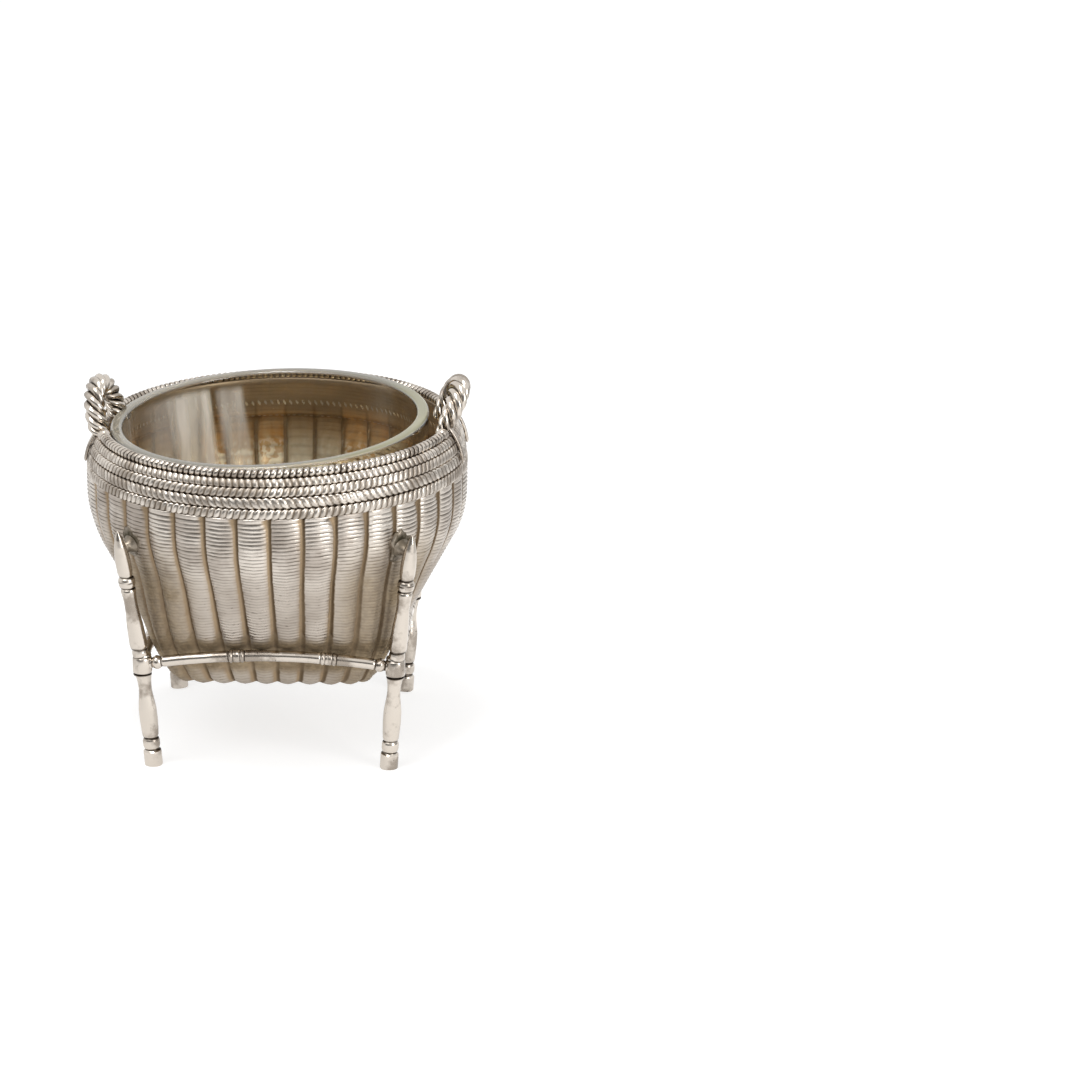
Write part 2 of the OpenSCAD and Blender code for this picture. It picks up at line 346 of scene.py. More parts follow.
def register(piece: bpy.types.Object, body: Body, slot: Slot, *nodes: str) -> None:
    """Hangs a dressed piece on its body and reports it.

    Args:
        piece: The finished mesh object.
        body: The body that it moves with.
        slot: The record's slot of its finish; not used.
        *nodes: The CAD nodes that it replaces.
    """
    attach(piece, body.value)
    if nodes:
        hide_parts(*nodes)
    faces = sum(len(face.vertices) - 2 for face in piece.data.polygons)
    LOG.info("%s: %d triangles, on %s", piece.name, faces, body.value)


# Finishes


class Kind(Enum):
    """The kinds of shader node: type, own settings, the inputs given in order, and the output in use."""

    PLACE = ("ShaderNodeTexCoord", {}, (), "Object")
    DIRECTION = ("ShaderNodeTexCoord", {}, (), "Generated")
    AXES = ("ShaderNodeSeparateXYZ", {}, (0,), 0)
    RAY = ("ShaderNodeLightPath", {}, (), 0)
    STORED = ("ShaderNodeAttribute", {}, (), "Fac")
    STRETCH = ("ShaderNodeMapping", {}, ("Vector", "Scale"), 0)
    NOISE = ("ShaderNodeTexNoise", {}, ("Vector", "Scale", "Detail", "Roughness"), 0)
    RANGE = ("ShaderNodeMapRange", {"interpolation_type": "SMOOTHSTEP"}, (0, 1, 2, 3, 4), 0)
    BLEND = ("ShaderNodeMix", {"data_type": "RGBA"}, (0, 6, 7), 2)
    TIMES = ("ShaderNodeMath", {"operation": "MULTIPLY"}, (0, 1), 0)
    PLUS = ("ShaderNodeMath", {"operation": "ADD"}, (0, 1), 0)
    MINUS = ("ShaderNodeMath", {"operation": "SUBTRACT"}, (0, 1), 0)
    LARGER = ("ShaderNodeMath", {"operation": "MAXIMUM"}, (0, 1), 0)
    SINE = ("ShaderNodeMath", {"operation": "SINE"}, (0,), 0)
    BUMP = ("ShaderNodeBump", {}, ("Height", "Distance", "Normal"), 0)
    METAL = ("ShaderNodeBsdfPrincipled", {}, ("Base Color", "Roughness", "Normal", "Metallic"), 0)
    GLASS = ("ShaderNodeBsdfPrincipled", {},
             ("Base Color", "Roughness", "Normal", "IOR", "Transmission Weight"), 0)
    MATTE = ("ShaderNodeBsdfDiffuse", {}, ("Color",), 0)
    CLEAR = ("ShaderNodeBsdfTransparent", {}, ("Color",), 0)
    GLOW = ("ShaderNodeEmission", {}, ("Color", "Strength"), 0)
    ROOM = ("ShaderNodeBackground", {}, ("Color", "Strength"), 0)
    EITHER = ("ShaderNodeMixShader", {}, (0, 1, 2), 0)
    BOTH = ("ShaderNodeAddShader", {}, (0, 1), 0)
    OUTPUT = ("ShaderNodeOutputMaterial", {}, ("Surface",), None)
    WORLD_OUTPUT = ("ShaderNodeOutputWorld", {}, ("Surface",), None)


def linear(code: str) -> tuple[float, float, float, float]:
    """Turns an sRGB hex colour into linear light.

    Args:
        code: The colour, such as "#c9c0b6".

    Returns:
        Red, green, blue and alpha.
    """
    channels = [int(code[i : i + 2], 16) / 255 for i in (1, 3, 5)]
    lit = [c / 12.92 if c <= 0.04045 else ((c + 0.055) / 1.055) ** 2.4 for c in channels]
    return (lit[0], lit[1], lit[2], 1.0)


def metres(band: tuple[float, ...]) -> tuple[float, ...]:
    """Turns sizes in millimetres into the metres that Object coordinates are in."""
    return tuple(size * MM for size in band)


def add(tree: bpy.types.NodeTree, kind: Kind, *inputs: object,
        **settings: object) -> bpy.types.NodeSocket | None:
    """Adds a node with its settings and links.

    Args:
        tree: The tree that gets the node.
        kind: The kind of node.
        *inputs: For the kind's inputs in order, a value or the output that feeds it.
        **settings: The node's own settings, beyond those of its kind.

    Returns:
        The kind's output, or None for a node that ends the tree.
    """
    node_type, own, sockets, output = kind.value
    node = tree.nodes.new(node_type)
    for key, value in (own | settings).items():
        setattr(node, key, value)
    for socket, value in zip(sockets, inputs):
        if isinstance(value, bpy.types.NodeSocket):
            tree.links.new(value, node.inputs[socket])
        else:
            node.inputs[socket].default_value = value
    return None if output is None else node.outputs[output]


def blank(name: str) -> tuple[bpy.types.Material, bpy.types.NodeTree]:
    """Makes an empty node material.

    Args:
        name: The material's name.

    Returns:
        The material and its tree.
    """
    material = bpy.data.materials.new(name)
    material.use_nodes = True
    material.node_tree.nodes.clear()
    return material, material.node_tree


@dataclass(frozen=True)
class SilverFinish:
    """Silver with a past: rubbed bright where it is touched, warm grey between, tan to brown in the hollows.

    The bright colour is what fingers and polish reach, the dull one is the thin tarnish film beside it, and
    the patina is the dirt and old lacquer left in hollows. Blotches are a few millimetres wide, small dark
    pits about 0.4 mm. Scratches are drawn at about 0.3 mm, coarser than real hairlines, so that they show.
    """

    name: str
    bright: str
    dull: str
    patina: str
    by_strand: bool = False
    # How deep a hollow is where the patina starts and where it is full
    patina_band: tuple[float, float] = (0.25, 0.9)
    # Roughness of the bright silver and of the dull one, and what full patina adds
    roughness: tuple[float, float] = (0.24, 0.42)
    patina_roughness: float = 0.2
    blotch_mm: float = 6.0
    # Levels of the blotches' noise where tarnish starts and is full, and where patina is thin and thick
    tarnish_band: tuple[float, float] = (0.47, 0.63)
    thick_band: tuple[float, ...] = (0.3, 0.7, 0.75, 1.2)
    strand_band: tuple[float, ...] = (0.35, 1.0, 0.0, 0.75)
    grain_mm: float = 0.3
    grain_depth: float = 0.006
    grain_share: float = 0.5
    dent_mm: float = 3.0
    dent_depth: float = 0.12
    pit_mm: float = 0.8
    pit_band: tuple[float, float] = (0.66, 0.74)
    pitted_band: tuple[float, float] = (0.45, 0.6)
    pits: float = 0.0

    def build(self) -> bpy.types.Material:
        """Builds the material.

        Returns:
            The node material.
        """
        material, tree = blank(self.name)
        place = add(tree, Kind.PLACE)
        blotch = add(tree, Kind.NOISE, place, 1 / (self.blotch_mm * MM), 4.0, 0.6)
        grain = add(tree, Kind.NOISE, place, 1 / (self.grain_mm * MM), 3.0, 0.55)
        tarnish = add(tree, Kind.RANGE, blotch, *self.tarnish_band)
        if self.by_strand:
            # No two strands took the same polish.
            tone = add(tree, Kind.STORED, attribute_name="tone")
            tarnish = add(tree, Kind.LARGER, tarnish, add(tree, Kind.RANGE, tone, *self.strand_band))
        colour = add(tree, Kind.BLEND, tarnish, linear(self.bright), linear(self.dull))
        dulled = add(tree, Kind.PLUS, tarnish, add(tree, Kind.TIMES, grain, self.grain_share))
        rough = add(tree, Kind.RANGE, dulled, 0.0, 1.4, *self.roughness)
        if self.pits:
            speck = add(tree, Kind.NOISE, place, 1 / (self.pit_mm * MM), 2.0)
            pitted = add(tree, Kind.TIMES, add(tree, Kind.RANGE, speck, *self.pit_band),
                         add(tree, Kind.RANGE, blotch, *self.pitted_band))
            pitted = add(tree, Kind.TIMES, pitted, self.pits)
            colour = add(tree, Kind.BLEND, pitted, colour, linear(self.patina))
        gap = add(tree, Kind.STORED, attribute_name="gap")
        uneven = add(tree, Kind.TIMES, gap, add(tree, Kind.RANGE, blotch, *self.thick_band))
        dirt_and_shade = add(tree, Kind.RANGE, uneven, *self.patina_band)
        colour = add(tree, Kind.BLEND, dirt_and_shade, colour, linear(self.patina))
        rough = add(tree, Kind.PLUS, rough, add(tree, Kind.TIMES, dirt_and_shade, self.patina_roughness))
        # Years of handling leave shallow dents that make the reflections run unevenly.
        dent = add(tree, Kind.NOISE, place, 1 / (self.dent_mm * MM), 1.0)
        dented = add(tree, Kind.BUMP, dent, self.dent_depth * MM)
        bump = add(tree, Kind.BUMP, grain, self.grain_depth * MM, dented)
        add(tree, Kind.OUTPUT, add(tree, Kind.METAL, colour, rough, bump, 1.0))
        return material


@dataclass(frozen=True)
class WovenSilverFinish:
    """The outside of the basket: silver ribs engraved with weft lines, patina and painted shade in lines and
    grooves.

    Above, the ribs are rubbed to a pale warm silver and the cuts between the wefts are nearly black, patina
    and painted shade in one, so that the lines sparkle. Lower down the wefts are worn flat, with a few dark
    nicks, and
    the silver turns a duller warm grey: painted shade for the darker table that it mirrors there. The grooves
    hold tan patina, with a dark edge of dirt and painted shade on one side. The foot is gold-brown, patina
    and a painted shadow of the stretchers in one, and the corners lower down are gold-brown as well.
    """

    name: str = "woven_silver"
    bright: str = "#e2dad0"
    dull: str = "#b6aca2"
    # The duller grey lower down is painted shade, for the darker table that the lower silver mirrors
    low: str = "#afa59a"
    line: str = "#5c5349"
    groove: str = "#a38e73"
    # The dark edge on one side of each groove: dirt and painted shade
    groove_dirt_and_shade: str = "#4f3f2c"
    # The foot's gold-brown: patina and a painted shadow of the stretchers in one
    foot: str = "#8a795f"
    stain_and_shadow_pale: str = "#9f8d71"
    collar: str = "#807366"
    # Heights, from where a state starts to where it is full
    wear_and_shade_mm: tuple[float, float] = (46.0, 34.0)
    stain_and_shadow_mm: tuple[float, float] = (24.4, 22.2)
    underside_mm: tuple[float, float] = (16.5, 19.0)
    corner_mm: tuple[float, float] = (49.0, 34.0)
    collar_mm: tuple[float, float] = (51.2, 51.7)
    # How much higher the foot's patina and painted shadow reach in a groove and in a dull blotch
    groove_reach_mm: float = 2.2
    blotch_reach_mm: float = 3.0
    blotch_mm: float = 9.0
    grit_mm: float = 0.9
    grit_depth: float = 0.03
    # Short level streaks along the wefts: their length, and how many times longer than high they are
    streak_mm: float = 2.0
    streak_ratio: float = 7.0
    dull_band: tuple[float, float] = (0.42, 0.72)
    rib_tone_share: float = 0.12
    low_shade_share: float = 0.75
    streak_share: float = 0.35
    nick_share: float = 0.8
    # How dark the weft lines, patina and painted shade, are above and, where they are worn, below
    line_shares: tuple[float, float] = (0.85, 0.28)
    # What the foot's patina and painted shadow leave of the grooves' tan and of their dark edge
    stain_and_shadow_shares: tuple[float, float] = (0.35, 0.45)
    roughness: tuple[float, float] = (0.27, 0.55)
    groove_roughness: float = 0.8
    foot_roughness: float = 0.35

    def build(self) -> bpy.types.Material:
        """Builds the material.

        Returns:
            The node material.
        """
        material, tree = blank(self.name)
        place = add(tree, Kind.PLACE)
        height = add(tree, Kind.AXES, place).node.outputs["Z"]
        groove, dirt_and_shade, weft, corner, tone = (add(tree, Kind.STORED, attribute_name=name)
                                            for name in ("groove", "dirt_and_shade", "weft", "corner", "tone"))
        wide = add(tree, Kind.NOISE, place, 1 / (self.blotch_mm * MM), 5.0, 0.6)
        fine = add(tree, Kind.NOISE, place, 1 / (self.grit_mm * MM), 3.0)
        stretched = add(tree, Kind.STRETCH, place, (1.0, 1.0, self.streak_ratio))
        streak = add(tree, Kind.NOISE, stretched, 1 / (self.streak_mm * MM), 2.0)
        # The silver itself: bright above, duller lower down as painted shade, with streaks along the wefts
        wear_and_painted_light = add(tree, Kind.RANGE, height, *metres(self.wear_and_shade_mm))
        blotched = add(tree, Kind.PLUS, wide, add(tree, Kind.TIMES, tone, self.rib_tone_share))
        dull = add(tree, Kind.RANGE, blotched, *self.dull_band)
        colour = add(tree, Kind.BLEND, dull, linear(self.bright), linear(self.dull))
        colour = add(tree, Kind.BLEND, add(tree, Kind.TIMES, wear_and_painted_light, self.low_shade_share), colour, linear(self.low))
        streaked = add(tree, Kind.TIMES, add(tree, Kind.RANGE, streak, 0.45, 0.7), self.streak_share)
        colour = add(tree, Kind.BLEND, streaked, colour, linear(self.dull))
        # The lines between the wefts, patina and painted shade, and below them a few dark nicks
        broken = add(tree, Kind.TIMES, weft, add(tree, Kind.RANGE, streak, 0.35, 0.65, 1.2, 0.85))
        cut = add(tree, Kind.RANGE, broken, 0.2, 0.8)
        nicks = add(tree, Kind.TIMES, add(tree, Kind.RANGE, fine, 0.56, 0.68), self.nick_share)
        lines = add(tree, Kind.RANGE, wear_and_painted_light, 0.0, 1.0, *self.line_shares)
        shown = add(tree, Kind.LARGER, lines, add(tree, Kind.TIMES, nicks, wear_and_painted_light))
        colour = add(tree, Kind.BLEND, add(tree, Kind.TIMES, cut, shown), colour, linear(self.line))
        # The foot's patina and painted shadow of the stretchers reach higher beside the grooves, so that each
        # rib ends in a pale tongue.
        reach = add(tree, Kind.PLUS, add(tree, Kind.TIMES, groove, self.groove_reach_mm * MM),
                    add(tree, Kind.TIMES, wide, self.blotch_reach_mm * MM))
        foot_stain_and_shadow = add(tree, Kind.RANGE, add(tree, Kind.MINUS, height, reach), *metres(self.stain_and_shadow_mm))
        above = add(tree, Kind.RANGE, height, *metres(self.underside_mm), 0.2, 0.9)
        foot_stain_and_shadow = add(tree, Kind.TIMES, foot_stain_and_shadow, above)
        sides = add(tree, Kind.TIMES, add(tree, Kind.RANGE, corner, 0.1, 0.75),
                    add(tree, Kind.RANGE, height, *metres(self.corner_mm)))
        sides = add(tree, Kind.TIMES, sides, add(tree, Kind.RANGE, wide, 0.3, 0.6, 0.95, 0.6))
        foot_stain_and_shadow = add(tree, Kind.LARGER, foot_stain_and_shadow, sides)
        stain_and_shadow_colour = add(tree, Kind.BLEND, add(tree, Kind.RANGE, fine, 0.35, 0.7), linear(self.foot),
                    linear(self.stain_and_shadow_pale))
        colour = add(tree, Kind.BLEND, foot_stain_and_shadow, colour, stain_and_shadow_colour)
        # The grooves: tan patina, with a dark edge of dirt and painted shade on one side
        tan_left, edge_left = (add(tree, Kind.RANGE, foot_stain_and_shadow, 0.3, 1.0, 1.0, share)
                               for share in self.stain_and_shadow_shares)
        filled = add(tree, Kind.TIMES, add(tree, Kind.RANGE, groove, 0.05, 0.95), tan_left)
        colour = add(tree, Kind.BLEND, filled, colour, linear(self.groove))
        edge = add(tree, Kind.TIMES, add(tree, Kind.RANGE, dirt_and_shade, 0.1, 0.95),
                   add(tree, Kind.RANGE, wide, 0.3, 0.6, 1.0, 0.75))
        edge = add(tree, Kind.TIMES, edge, edge_left)
        colour = add(tree, Kind.BLEND, edge, colour, linear(self.groove_dirt_and_shade))
        # The collar's sheet only shows in the gaps between the roped rows, where nothing is ever rubbed.
        collared = add(tree, Kind.RANGE, height, *metres(self.collar_mm))
        colour = add(tree, Kind.BLEND, collared, colour, linear(self.collar))
        dulled = add(tree, Kind.PLUS, dull, add(tree, Kind.TIMES, filled, self.groove_roughness))
        rough = add(tree, Kind.RANGE, dulled, 0.0, 1.5, *self.roughness)
        rough = add(tree, Kind.PLUS, rough, add(tree, Kind.TIMES, foot_stain_and_shadow, self.foot_roughness))
        bump = add(tree, Kind.BUMP, fine, self.grit_depth * MM)
        add(tree, Kind.OUTPUT, add(tree, Kind.METAL, colour, rough, bump, 1.0))
        return material


@dataclass(frozen=True)
class GiltFinish:
    """The inside of the basket: old gilding under the glass, brown-grey at the collar, amber and cream below.

    Old thin gilding scatters a little of the light that it mirrors, so not all of it answers as metal. Level
    burnishing lines run round the collar, drawn 0.8 mm apart so that they show. Dirt and painted shade darken
    the grooves, painted shade darkens some whole ribs, some ribs are pale with wear and a painted reflection,
    and pale glints lower down are painted highlights.
    """

    name: str = "old_gilding"
    rim: str = "#8b7964"
    middle: str = "#c09d75"
    floor: str = "#efd7b8"
    pale: str = "#fdf4e2"
    amber: str = "#c48a42"
    line: str = "#5a4429"
    burnish_mm: float = 0.8
    blotch_mm: float = 6.0
    spot_mm: float = 1.2
    spot_depth: float = 0.02
    # Heights, from where a colour starts to where it is full
    rim_mm: tuple[float, float] = (46.0, 55.0)
    floor_mm: tuple[float, float] = (48.5, 41.0)
    amber_mm: tuple[float, float] = (55.0, 47.0)
    pale_mm: tuple[float, float] = (51.0, 43.0)
    glints_mm: tuple[float, float] = (47.5, 43.5)
    rib_shade_mm: tuple[float, float] = (57.0, 50.0)
    burnished_mm: tuple[float, float] = (46.0, 50.0)
    # How strong each mark is where it is full
    amber_share: float = 0.9
    pale_share: float = 0.75
    glint_share: float = 0.9
    weft_share: float = 0.35
    groove_share: float = 0.85
    rib_shade_share: float = 0.4
    burnish_share: float = 0.4
    metallic: float = 0.55
    roughness: tuple[float, float] = (0.28, 0.44)

    def build(self) -> bpy.types.Material:
        """Builds the material.

        Returns:
            The node material.
        """
        material, tree = blank(self.name)
        place = add(tree, Kind.PLACE)
        height = add(tree, Kind.AXES, place).node.outputs["Z"]
        groove, weft, tone = (add(tree, Kind.STORED, attribute_name=name)
                              for name in ("groove", "weft", "tone"))
        wide = add(tree, Kind.NOISE, place, 1 / (self.blotch_mm * MM), 5.0, 0.65)
        fine = add(tree, Kind.NOISE, place, 1 / (self.spot_mm * MM), 3.0)
        high = add(tree, Kind.RANGE, height, *metres(self.rim_mm))
        deep = add(tree, Kind.RANGE, height, *metres(self.floor_mm))
        upper = add(tree, Kind.BLEND, high, linear(self.middle), linear(self.rim))
        colour = add(tree, Kind.BLEND, deep, upper, linear(self.floor))
        # Some ribs kept more gold than their neighbours, and others are pale with wear and a painted
        # reflection.
        golden = add(tree, Kind.TIMES, add(tree, Kind.RANGE, tone, 0.45, 0.8),
                     add(tree, Kind.RANGE, wide, 0.35, 0.65))
        kept = add(tree, Kind.TIMES, golden,
                   add(tree, Kind.RANGE, height, *metres(self.amber_mm), 0.0, self.amber_share))
        colour = add(tree, Kind.BLEND, kept, colour, linear(self.amber))
        pale_wear_and_reflection = add(tree, Kind.TIMES, add(tree, Kind.RANGE, tone, 0.4, 0.15),
                   add(tree, Kind.RANGE, height, *metres(self.pale_mm)))
        pale_wear_and_reflection = add(tree, Kind.TIMES, pale_wear_and_reflection, self.pale_share)
        colour = add(tree, Kind.BLEND, pale_wear_and_reflection, colour, linear(self.pale))
        # Lower down, pale glints about 1 mm wide are painted highlights.
        glints = add(tree, Kind.TIMES, add(tree, Kind.RANGE, fine, 0.46, 0.56),
                    add(tree, Kind.RANGE, height, *metres(self.glints_mm)))
        glints = add(tree, Kind.TIMES, glints, self.glint_share)
        colour = add(tree, Kind.BLEND, glints, colour, linear(self.pale))
        # Dirt marks the wefts, dirt and painted shade mark the grooves, and painted shade darkens some whole
        # ribs. Above, it fades into the collar's burnishing lines.
        woven = add(tree, Kind.TIMES, add(tree, Kind.RANGE, weft, 0.2, 1.0), self.weft_share)
        grooved = add(tree, Kind.TIMES, add(tree, Kind.RANGE, groove, 0.3, 0.9), self.groove_share)
        rib_shade = add(tree, Kind.TIMES, add(tree, Kind.RANGE, tone, 0.7, 0.3),
                    add(tree, Kind.RANGE, height, *metres(self.rib_shade_mm), 0.0, self.rib_shade_share))
        wave = add(tree, Kind.SINE, add(tree, Kind.TIMES, height, FULL_TURN / (self.burnish_mm * MM)))
        burnished = add(tree, Kind.TIMES, add(tree, Kind.RANGE, wave, 0.0, 1.0),
                        add(tree, Kind.RANGE, height, *metres(self.burnished_mm), 0.0, self.burnish_share))
        burnished = add(tree, Kind.TIMES, burnished, add(tree, Kind.RANGE, wide, 0.3, 0.6, 1.0, 0.3))
        for mark in (woven, grooved, rib_shade, burnished):
            colour = add(tree, Kind.BLEND, mark, colour, linear(self.line))
        rough = add(tree, Kind.RANGE, fine, 0.3, 0.7, *self.roughness)
        bump = add(tree, Kind.BUMP, fine, self.spot_depth * MM)
        add(tree, Kind.OUTPUT, add(tree, Kind.METAL, colour, rough, bump, self.metallic))
        return material


@dataclass(frozen=True)
class GlassFinish:
    """Pressed soda glass: clear through its wall, pale yellow-green where one looks into its thick rim.

    The rim is fire-polished and clouded. Painted light makes it pale on the front right, and elsewhere the
    gilding behind it is painted in as olive shade. A milky painted reflection lies at the back left, in two
    streaks that lean a little to the right as they run down.
    """

    name: str = "pressed_glass"
    tint: str = "#fbfaf3"
    rim: str = "#b4b08e"
    rim_shaded: str = "#857b62"
    painted_reflection: str = "#ebe5dd"
    roughness: float = 0.02
    ior: float = 1.5
    # Where the rim's painted light starts and is full, along X and along Y
    lit_x_mm: tuple[float, float] = (2.0, 22.0)
    lit_y_mm: tuple[float, float] = (22.0, 8.0)
    olive_share: float = 0.7
    rim_transmission: float = 0.4
    ripple_mm: float = 8.0
    ripple_depth: float = 0.05
    reflection_share: float = 0.58
    reflection_lean: float = 0.12
    # Where along X the painted reflection's first streak starts, doubles and ends, and the second one starts
    # and ends
    first_from_mm: tuple[float, ...] = (-30.0, -21.0)
    first_dense_mm: tuple[float, ...] = (-22.5, -21.2)
    first_to_mm: tuple[float, ...] = (-14.8, -15.5)
    second_from_mm: tuple[float, ...] = (-14.0, -13.0)
    second_to_mm: tuple[float, ...] = (-8.5, -9.3)
    streak_shares: tuple[float, float] = (0.5, 0.55)
    reflection_y_mm: tuple[float, float] = (4.0, 12.0)
    reflection_z_mm: tuple[float, float] = (59.2, 57.5)
    lean_z_mm: float = 57.0
    run_mm: float = 3.0
    run_stretch: float = 0.12

    def reflection_streaks(self, tree: bpy.types.NodeTree, place: bpy.types.NodeSocket) -> bpy.types.NodeSocket:
        """Draws the painted reflection: two milky streaks on the glass.

        Args:
            tree: The tree that gets the nodes.
            place: Object coordinates.

        Returns:
            How dense the painted reflection is.
        """
        axes = add(tree, Kind.AXES, place).node.outputs
        drop = add(tree, Kind.TIMES, add(tree, Kind.MINUS, axes["Z"], self.lean_z_mm * MM), self.reflection_lean)
        across = add(tree, Kind.PLUS, axes["X"], drop)
        streaks = []
        for begin, end, share in ((self.first_from_mm, self.first_to_mm, self.streak_shares[0]),
                                  (self.second_from_mm, self.second_to_mm, self.streak_shares[1])):
            begun = add(tree, Kind.RANGE, across, *metres(begin), 0.0, share)
            streaks.append(add(tree, Kind.TIMES, begun, add(tree, Kind.RANGE, across, *metres(end))))
        dense = add(tree, Kind.RANGE, across, *metres(self.first_dense_mm), 1.0, 2.0)
        painted_reflection = add(tree, Kind.LARGER, add(tree, Kind.TIMES, streaks[0], dense), streaks[1])
        painted_reflection = add(tree, Kind.TIMES, painted_reflection, add(tree, Kind.RANGE, axes["Y"], *metres(self.reflection_y_mm)))
        painted_reflection = add(tree, Kind.TIMES, painted_reflection, add(tree, Kind.RANGE, axes["Z"], *metres(self.reflection_z_mm)))
        # The painted reflection breaks up into fine upright runs.
        run = add(tree, Kind.NOISE, add(tree, Kind.STRETCH, place, (1.0, 1.0, self.run_stretch)),
                  1 / (self.run_mm * MM), 3.0)
        painted_reflection = add(tree, Kind.TIMES, painted_reflection, add(tree, Kind.RANGE, run, 0.3, 0.6, 0.35, 1.0))
        return add(tree, Kind.TIMES, painted_reflection, self.reflection_share)

    def build(self) -> bpy.types.Material:
        """Builds the material.

        Returns:
            The node material.
        """
        material, tree = blank(self.name)
        place = add(tree, Kind.PLACE)
        axes = add(tree, Kind.AXES, place).node.outputs
        # Painted light and shade on the rim: pale towards the front right, olive elsewhere.
        wear_and_painted_light = add(tree, Kind.TIMES, add(tree, Kind.RANGE, axes["X"], *metres(self.lit_x_mm)),
                   add(tree, Kind.RANGE, axes["Y"], *metres(self.lit_y_mm)))
        rim = add(tree, Kind.TIMES, add(tree, Kind.STORED, attribute_name="rim"),
                  add(tree, Kind.RANGE, wear_and_painted_light, 0.0, 1.0, self.olive_share, 1.0))
        rim_colour = add(tree, Kind.BLEND, wear_and_painted_light, linear(self.rim_shaded), linear(self.rim))
        colour = add(tree, Kind.BLEND, rim, linear(self.tint), rim_colour)
        # Pressed glass keeps a faint unevenness of the mould, a few millimetres wide.
        ripple = add(tree, Kind.NOISE, place, 1 / (self.ripple_mm * MM), 1.0)
        bump = add(tree, Kind.BUMP, ripple, self.ripple_depth * MM)
        clearness = add(tree, Kind.RANGE, rim, 0.0, 1.0, 1.0, self.rim_transmission)
        glass = add(tree, Kind.GLASS, colour, self.roughness, bump, self.ior, clearness)
        # The painted reflection: a matte white layer over the glass where the streaks are.
        reflection_matte = add(tree, Kind.MATTE, linear(self.painted_reflection))
        with_reflection = add(tree, Kind.EITHER, self.reflection_streaks(tree, place), glass, reflection_matte)
        # Light that falls on the thin wall is let through, as clear glass does, so that the gilding is lit.
        ray = add(tree, Kind.RAY).node.outputs
        light = add(tree, Kind.LARGER, ray["Is Shadow Ray"], ray["Is Diffuse Ray"])
        through = add(tree, Kind.CLEAR, linear(self.tint))
        add(tree, Kind.OUTPUT, add(tree, Kind.EITHER, light, with_reflection, through))
        return material


# The basket and its border


@dataclass(frozen=True)
class BowlForm:
    """The basket's outline over its ribs' crests: a corner arc, a straight flank and the belly's arc."""

    belly_r: float = 35.0
    belly_arc: float = 18.4
    flank_angle: float = 30.5
    base_z: float = 14.15
    base_inset: float = 18.7
    base_corner: float = 3.5
    wall: float = 0.9
    square_drop: float = 5.5
    square_rise: float = 0.9
    corner_power: int = 6
    corner_trim: float = 13.0
    border_from: float = 11.0
    row_width: float = 1.8
    row_shares: tuple[float, ...] = (1.09, 1.17, 1.0, 0.93)
    row_proud: float = 1.15
    lip_rise: float = 0.6
    lip_flare: float = 0.1
    lip_width: float = 1.1

    @property
    def normal(self) -> Array:
        """The flank's outward normal."""
        return np.array([math.cos(math.radians(self.flank_angle)), -math.sin(math.radians(self.flank_angle))])

    @property
    def base_r(self) -> float:
        """Radius of the flat underside."""
        return self.belly_r - self.base_inset

    @property
    def corner_centre(self) -> Array:
        """Centre of the corner's arc."""
        return np.array([self.base_r, self.base_z + self.base_corner])

    @property
    def flank_reach(self) -> float:
        """Distance of the flank's line from the origin, along its normal."""
        return float(self.normal @ self.corner_centre) + self.base_corner

    @property
    def belly_centre(self) -> Array:
        """Centre of the belly's arc."""
        radius = self.belly_r - self.belly_arc
        reach = self.flank_reach - self.belly_arc
        return np.array([radius, (self.normal[0] * radius - reach) / -self.normal[1]])

    @property
    def row_edges(self) -> list[float]:
        """Lower edges of the roped rows and the top of the last one, in degrees above the widest level."""
        angles = [2 * math.degrees(math.asin(self.row_width * share / (2 * self.belly_arc)))
                  for share in self.row_shares]
        return [self.border_from + sum(angles[:i]) for i in range(len(angles) + 1)]

    @property
    def border_to(self) -> float:
        """Where the roped border ends, in degrees above the widest level."""
        return self.row_edges[-1]

    @property
    def rim_z(self) -> float:
        """Height of the top edge of the sheet."""
        end = math.radians(self.border_to)
        sheet = self.belly_arc - self.row_proud
        return float(self.belly_centre[1]) + sheet * math.sin(end) + self.lip_rise

    @property
    def lip_r(self) -> float:
        """Radius of the lip's outer edge."""
        end = math.radians(self.border_to)
        sheet = self.belly_arc - self.row_proud
        return float(self.belly_centre[0]) + sheet * math.cos(end) + self.lip_flare

    def crest_r(self, z: float) -> float:
        """Gives the radius over the crests at a height.

        Args:
            z: Height, in millimetres.

        Returns:
            The radius, in millimetres.
        """
        tangent = self.belly_centre[1] + self.belly_arc * self.normal[1]
        if z < tangent:
            return float((self.flank_reach - self.normal[1] * z) / self.normal[0])
        return float(self.belly_centre[0] + math.sqrt(self.belly_arc**2 - (z - self.belly_centre[1]) ** 2))

    def plan(self, angle: Array, z: Array) -> tuple[Array, Array]:
        """Turns the outline from round at the belly to a square with round corners at the foot.

        Args:
            angle: Angles round the basket, in radians.
            z: Heights, in millimetres.

        Returns:
            For each point, the x and y of the outline for a radius of one.
        """
        top = self.belly_centre[1] - self.square_drop
        share = eased((top - z) / (top - self.base_z - self.square_rise))
        side = np.round(angle / (math.pi / 2)) * (math.pi / 2)
        away = (angle - side) / (math.pi / 4)
        reach = 1 - away**self.corner_power / self.corner_trim
        square_x = reach * (np.cos(side) - away * np.sin(side))
        square_y = reach * (np.sin(side) + away * np.cos(side))
        return (np.cos(angle) * (1 - share) + square_x * share,
                np.sin(angle) * (1 - share) + square_y * share)


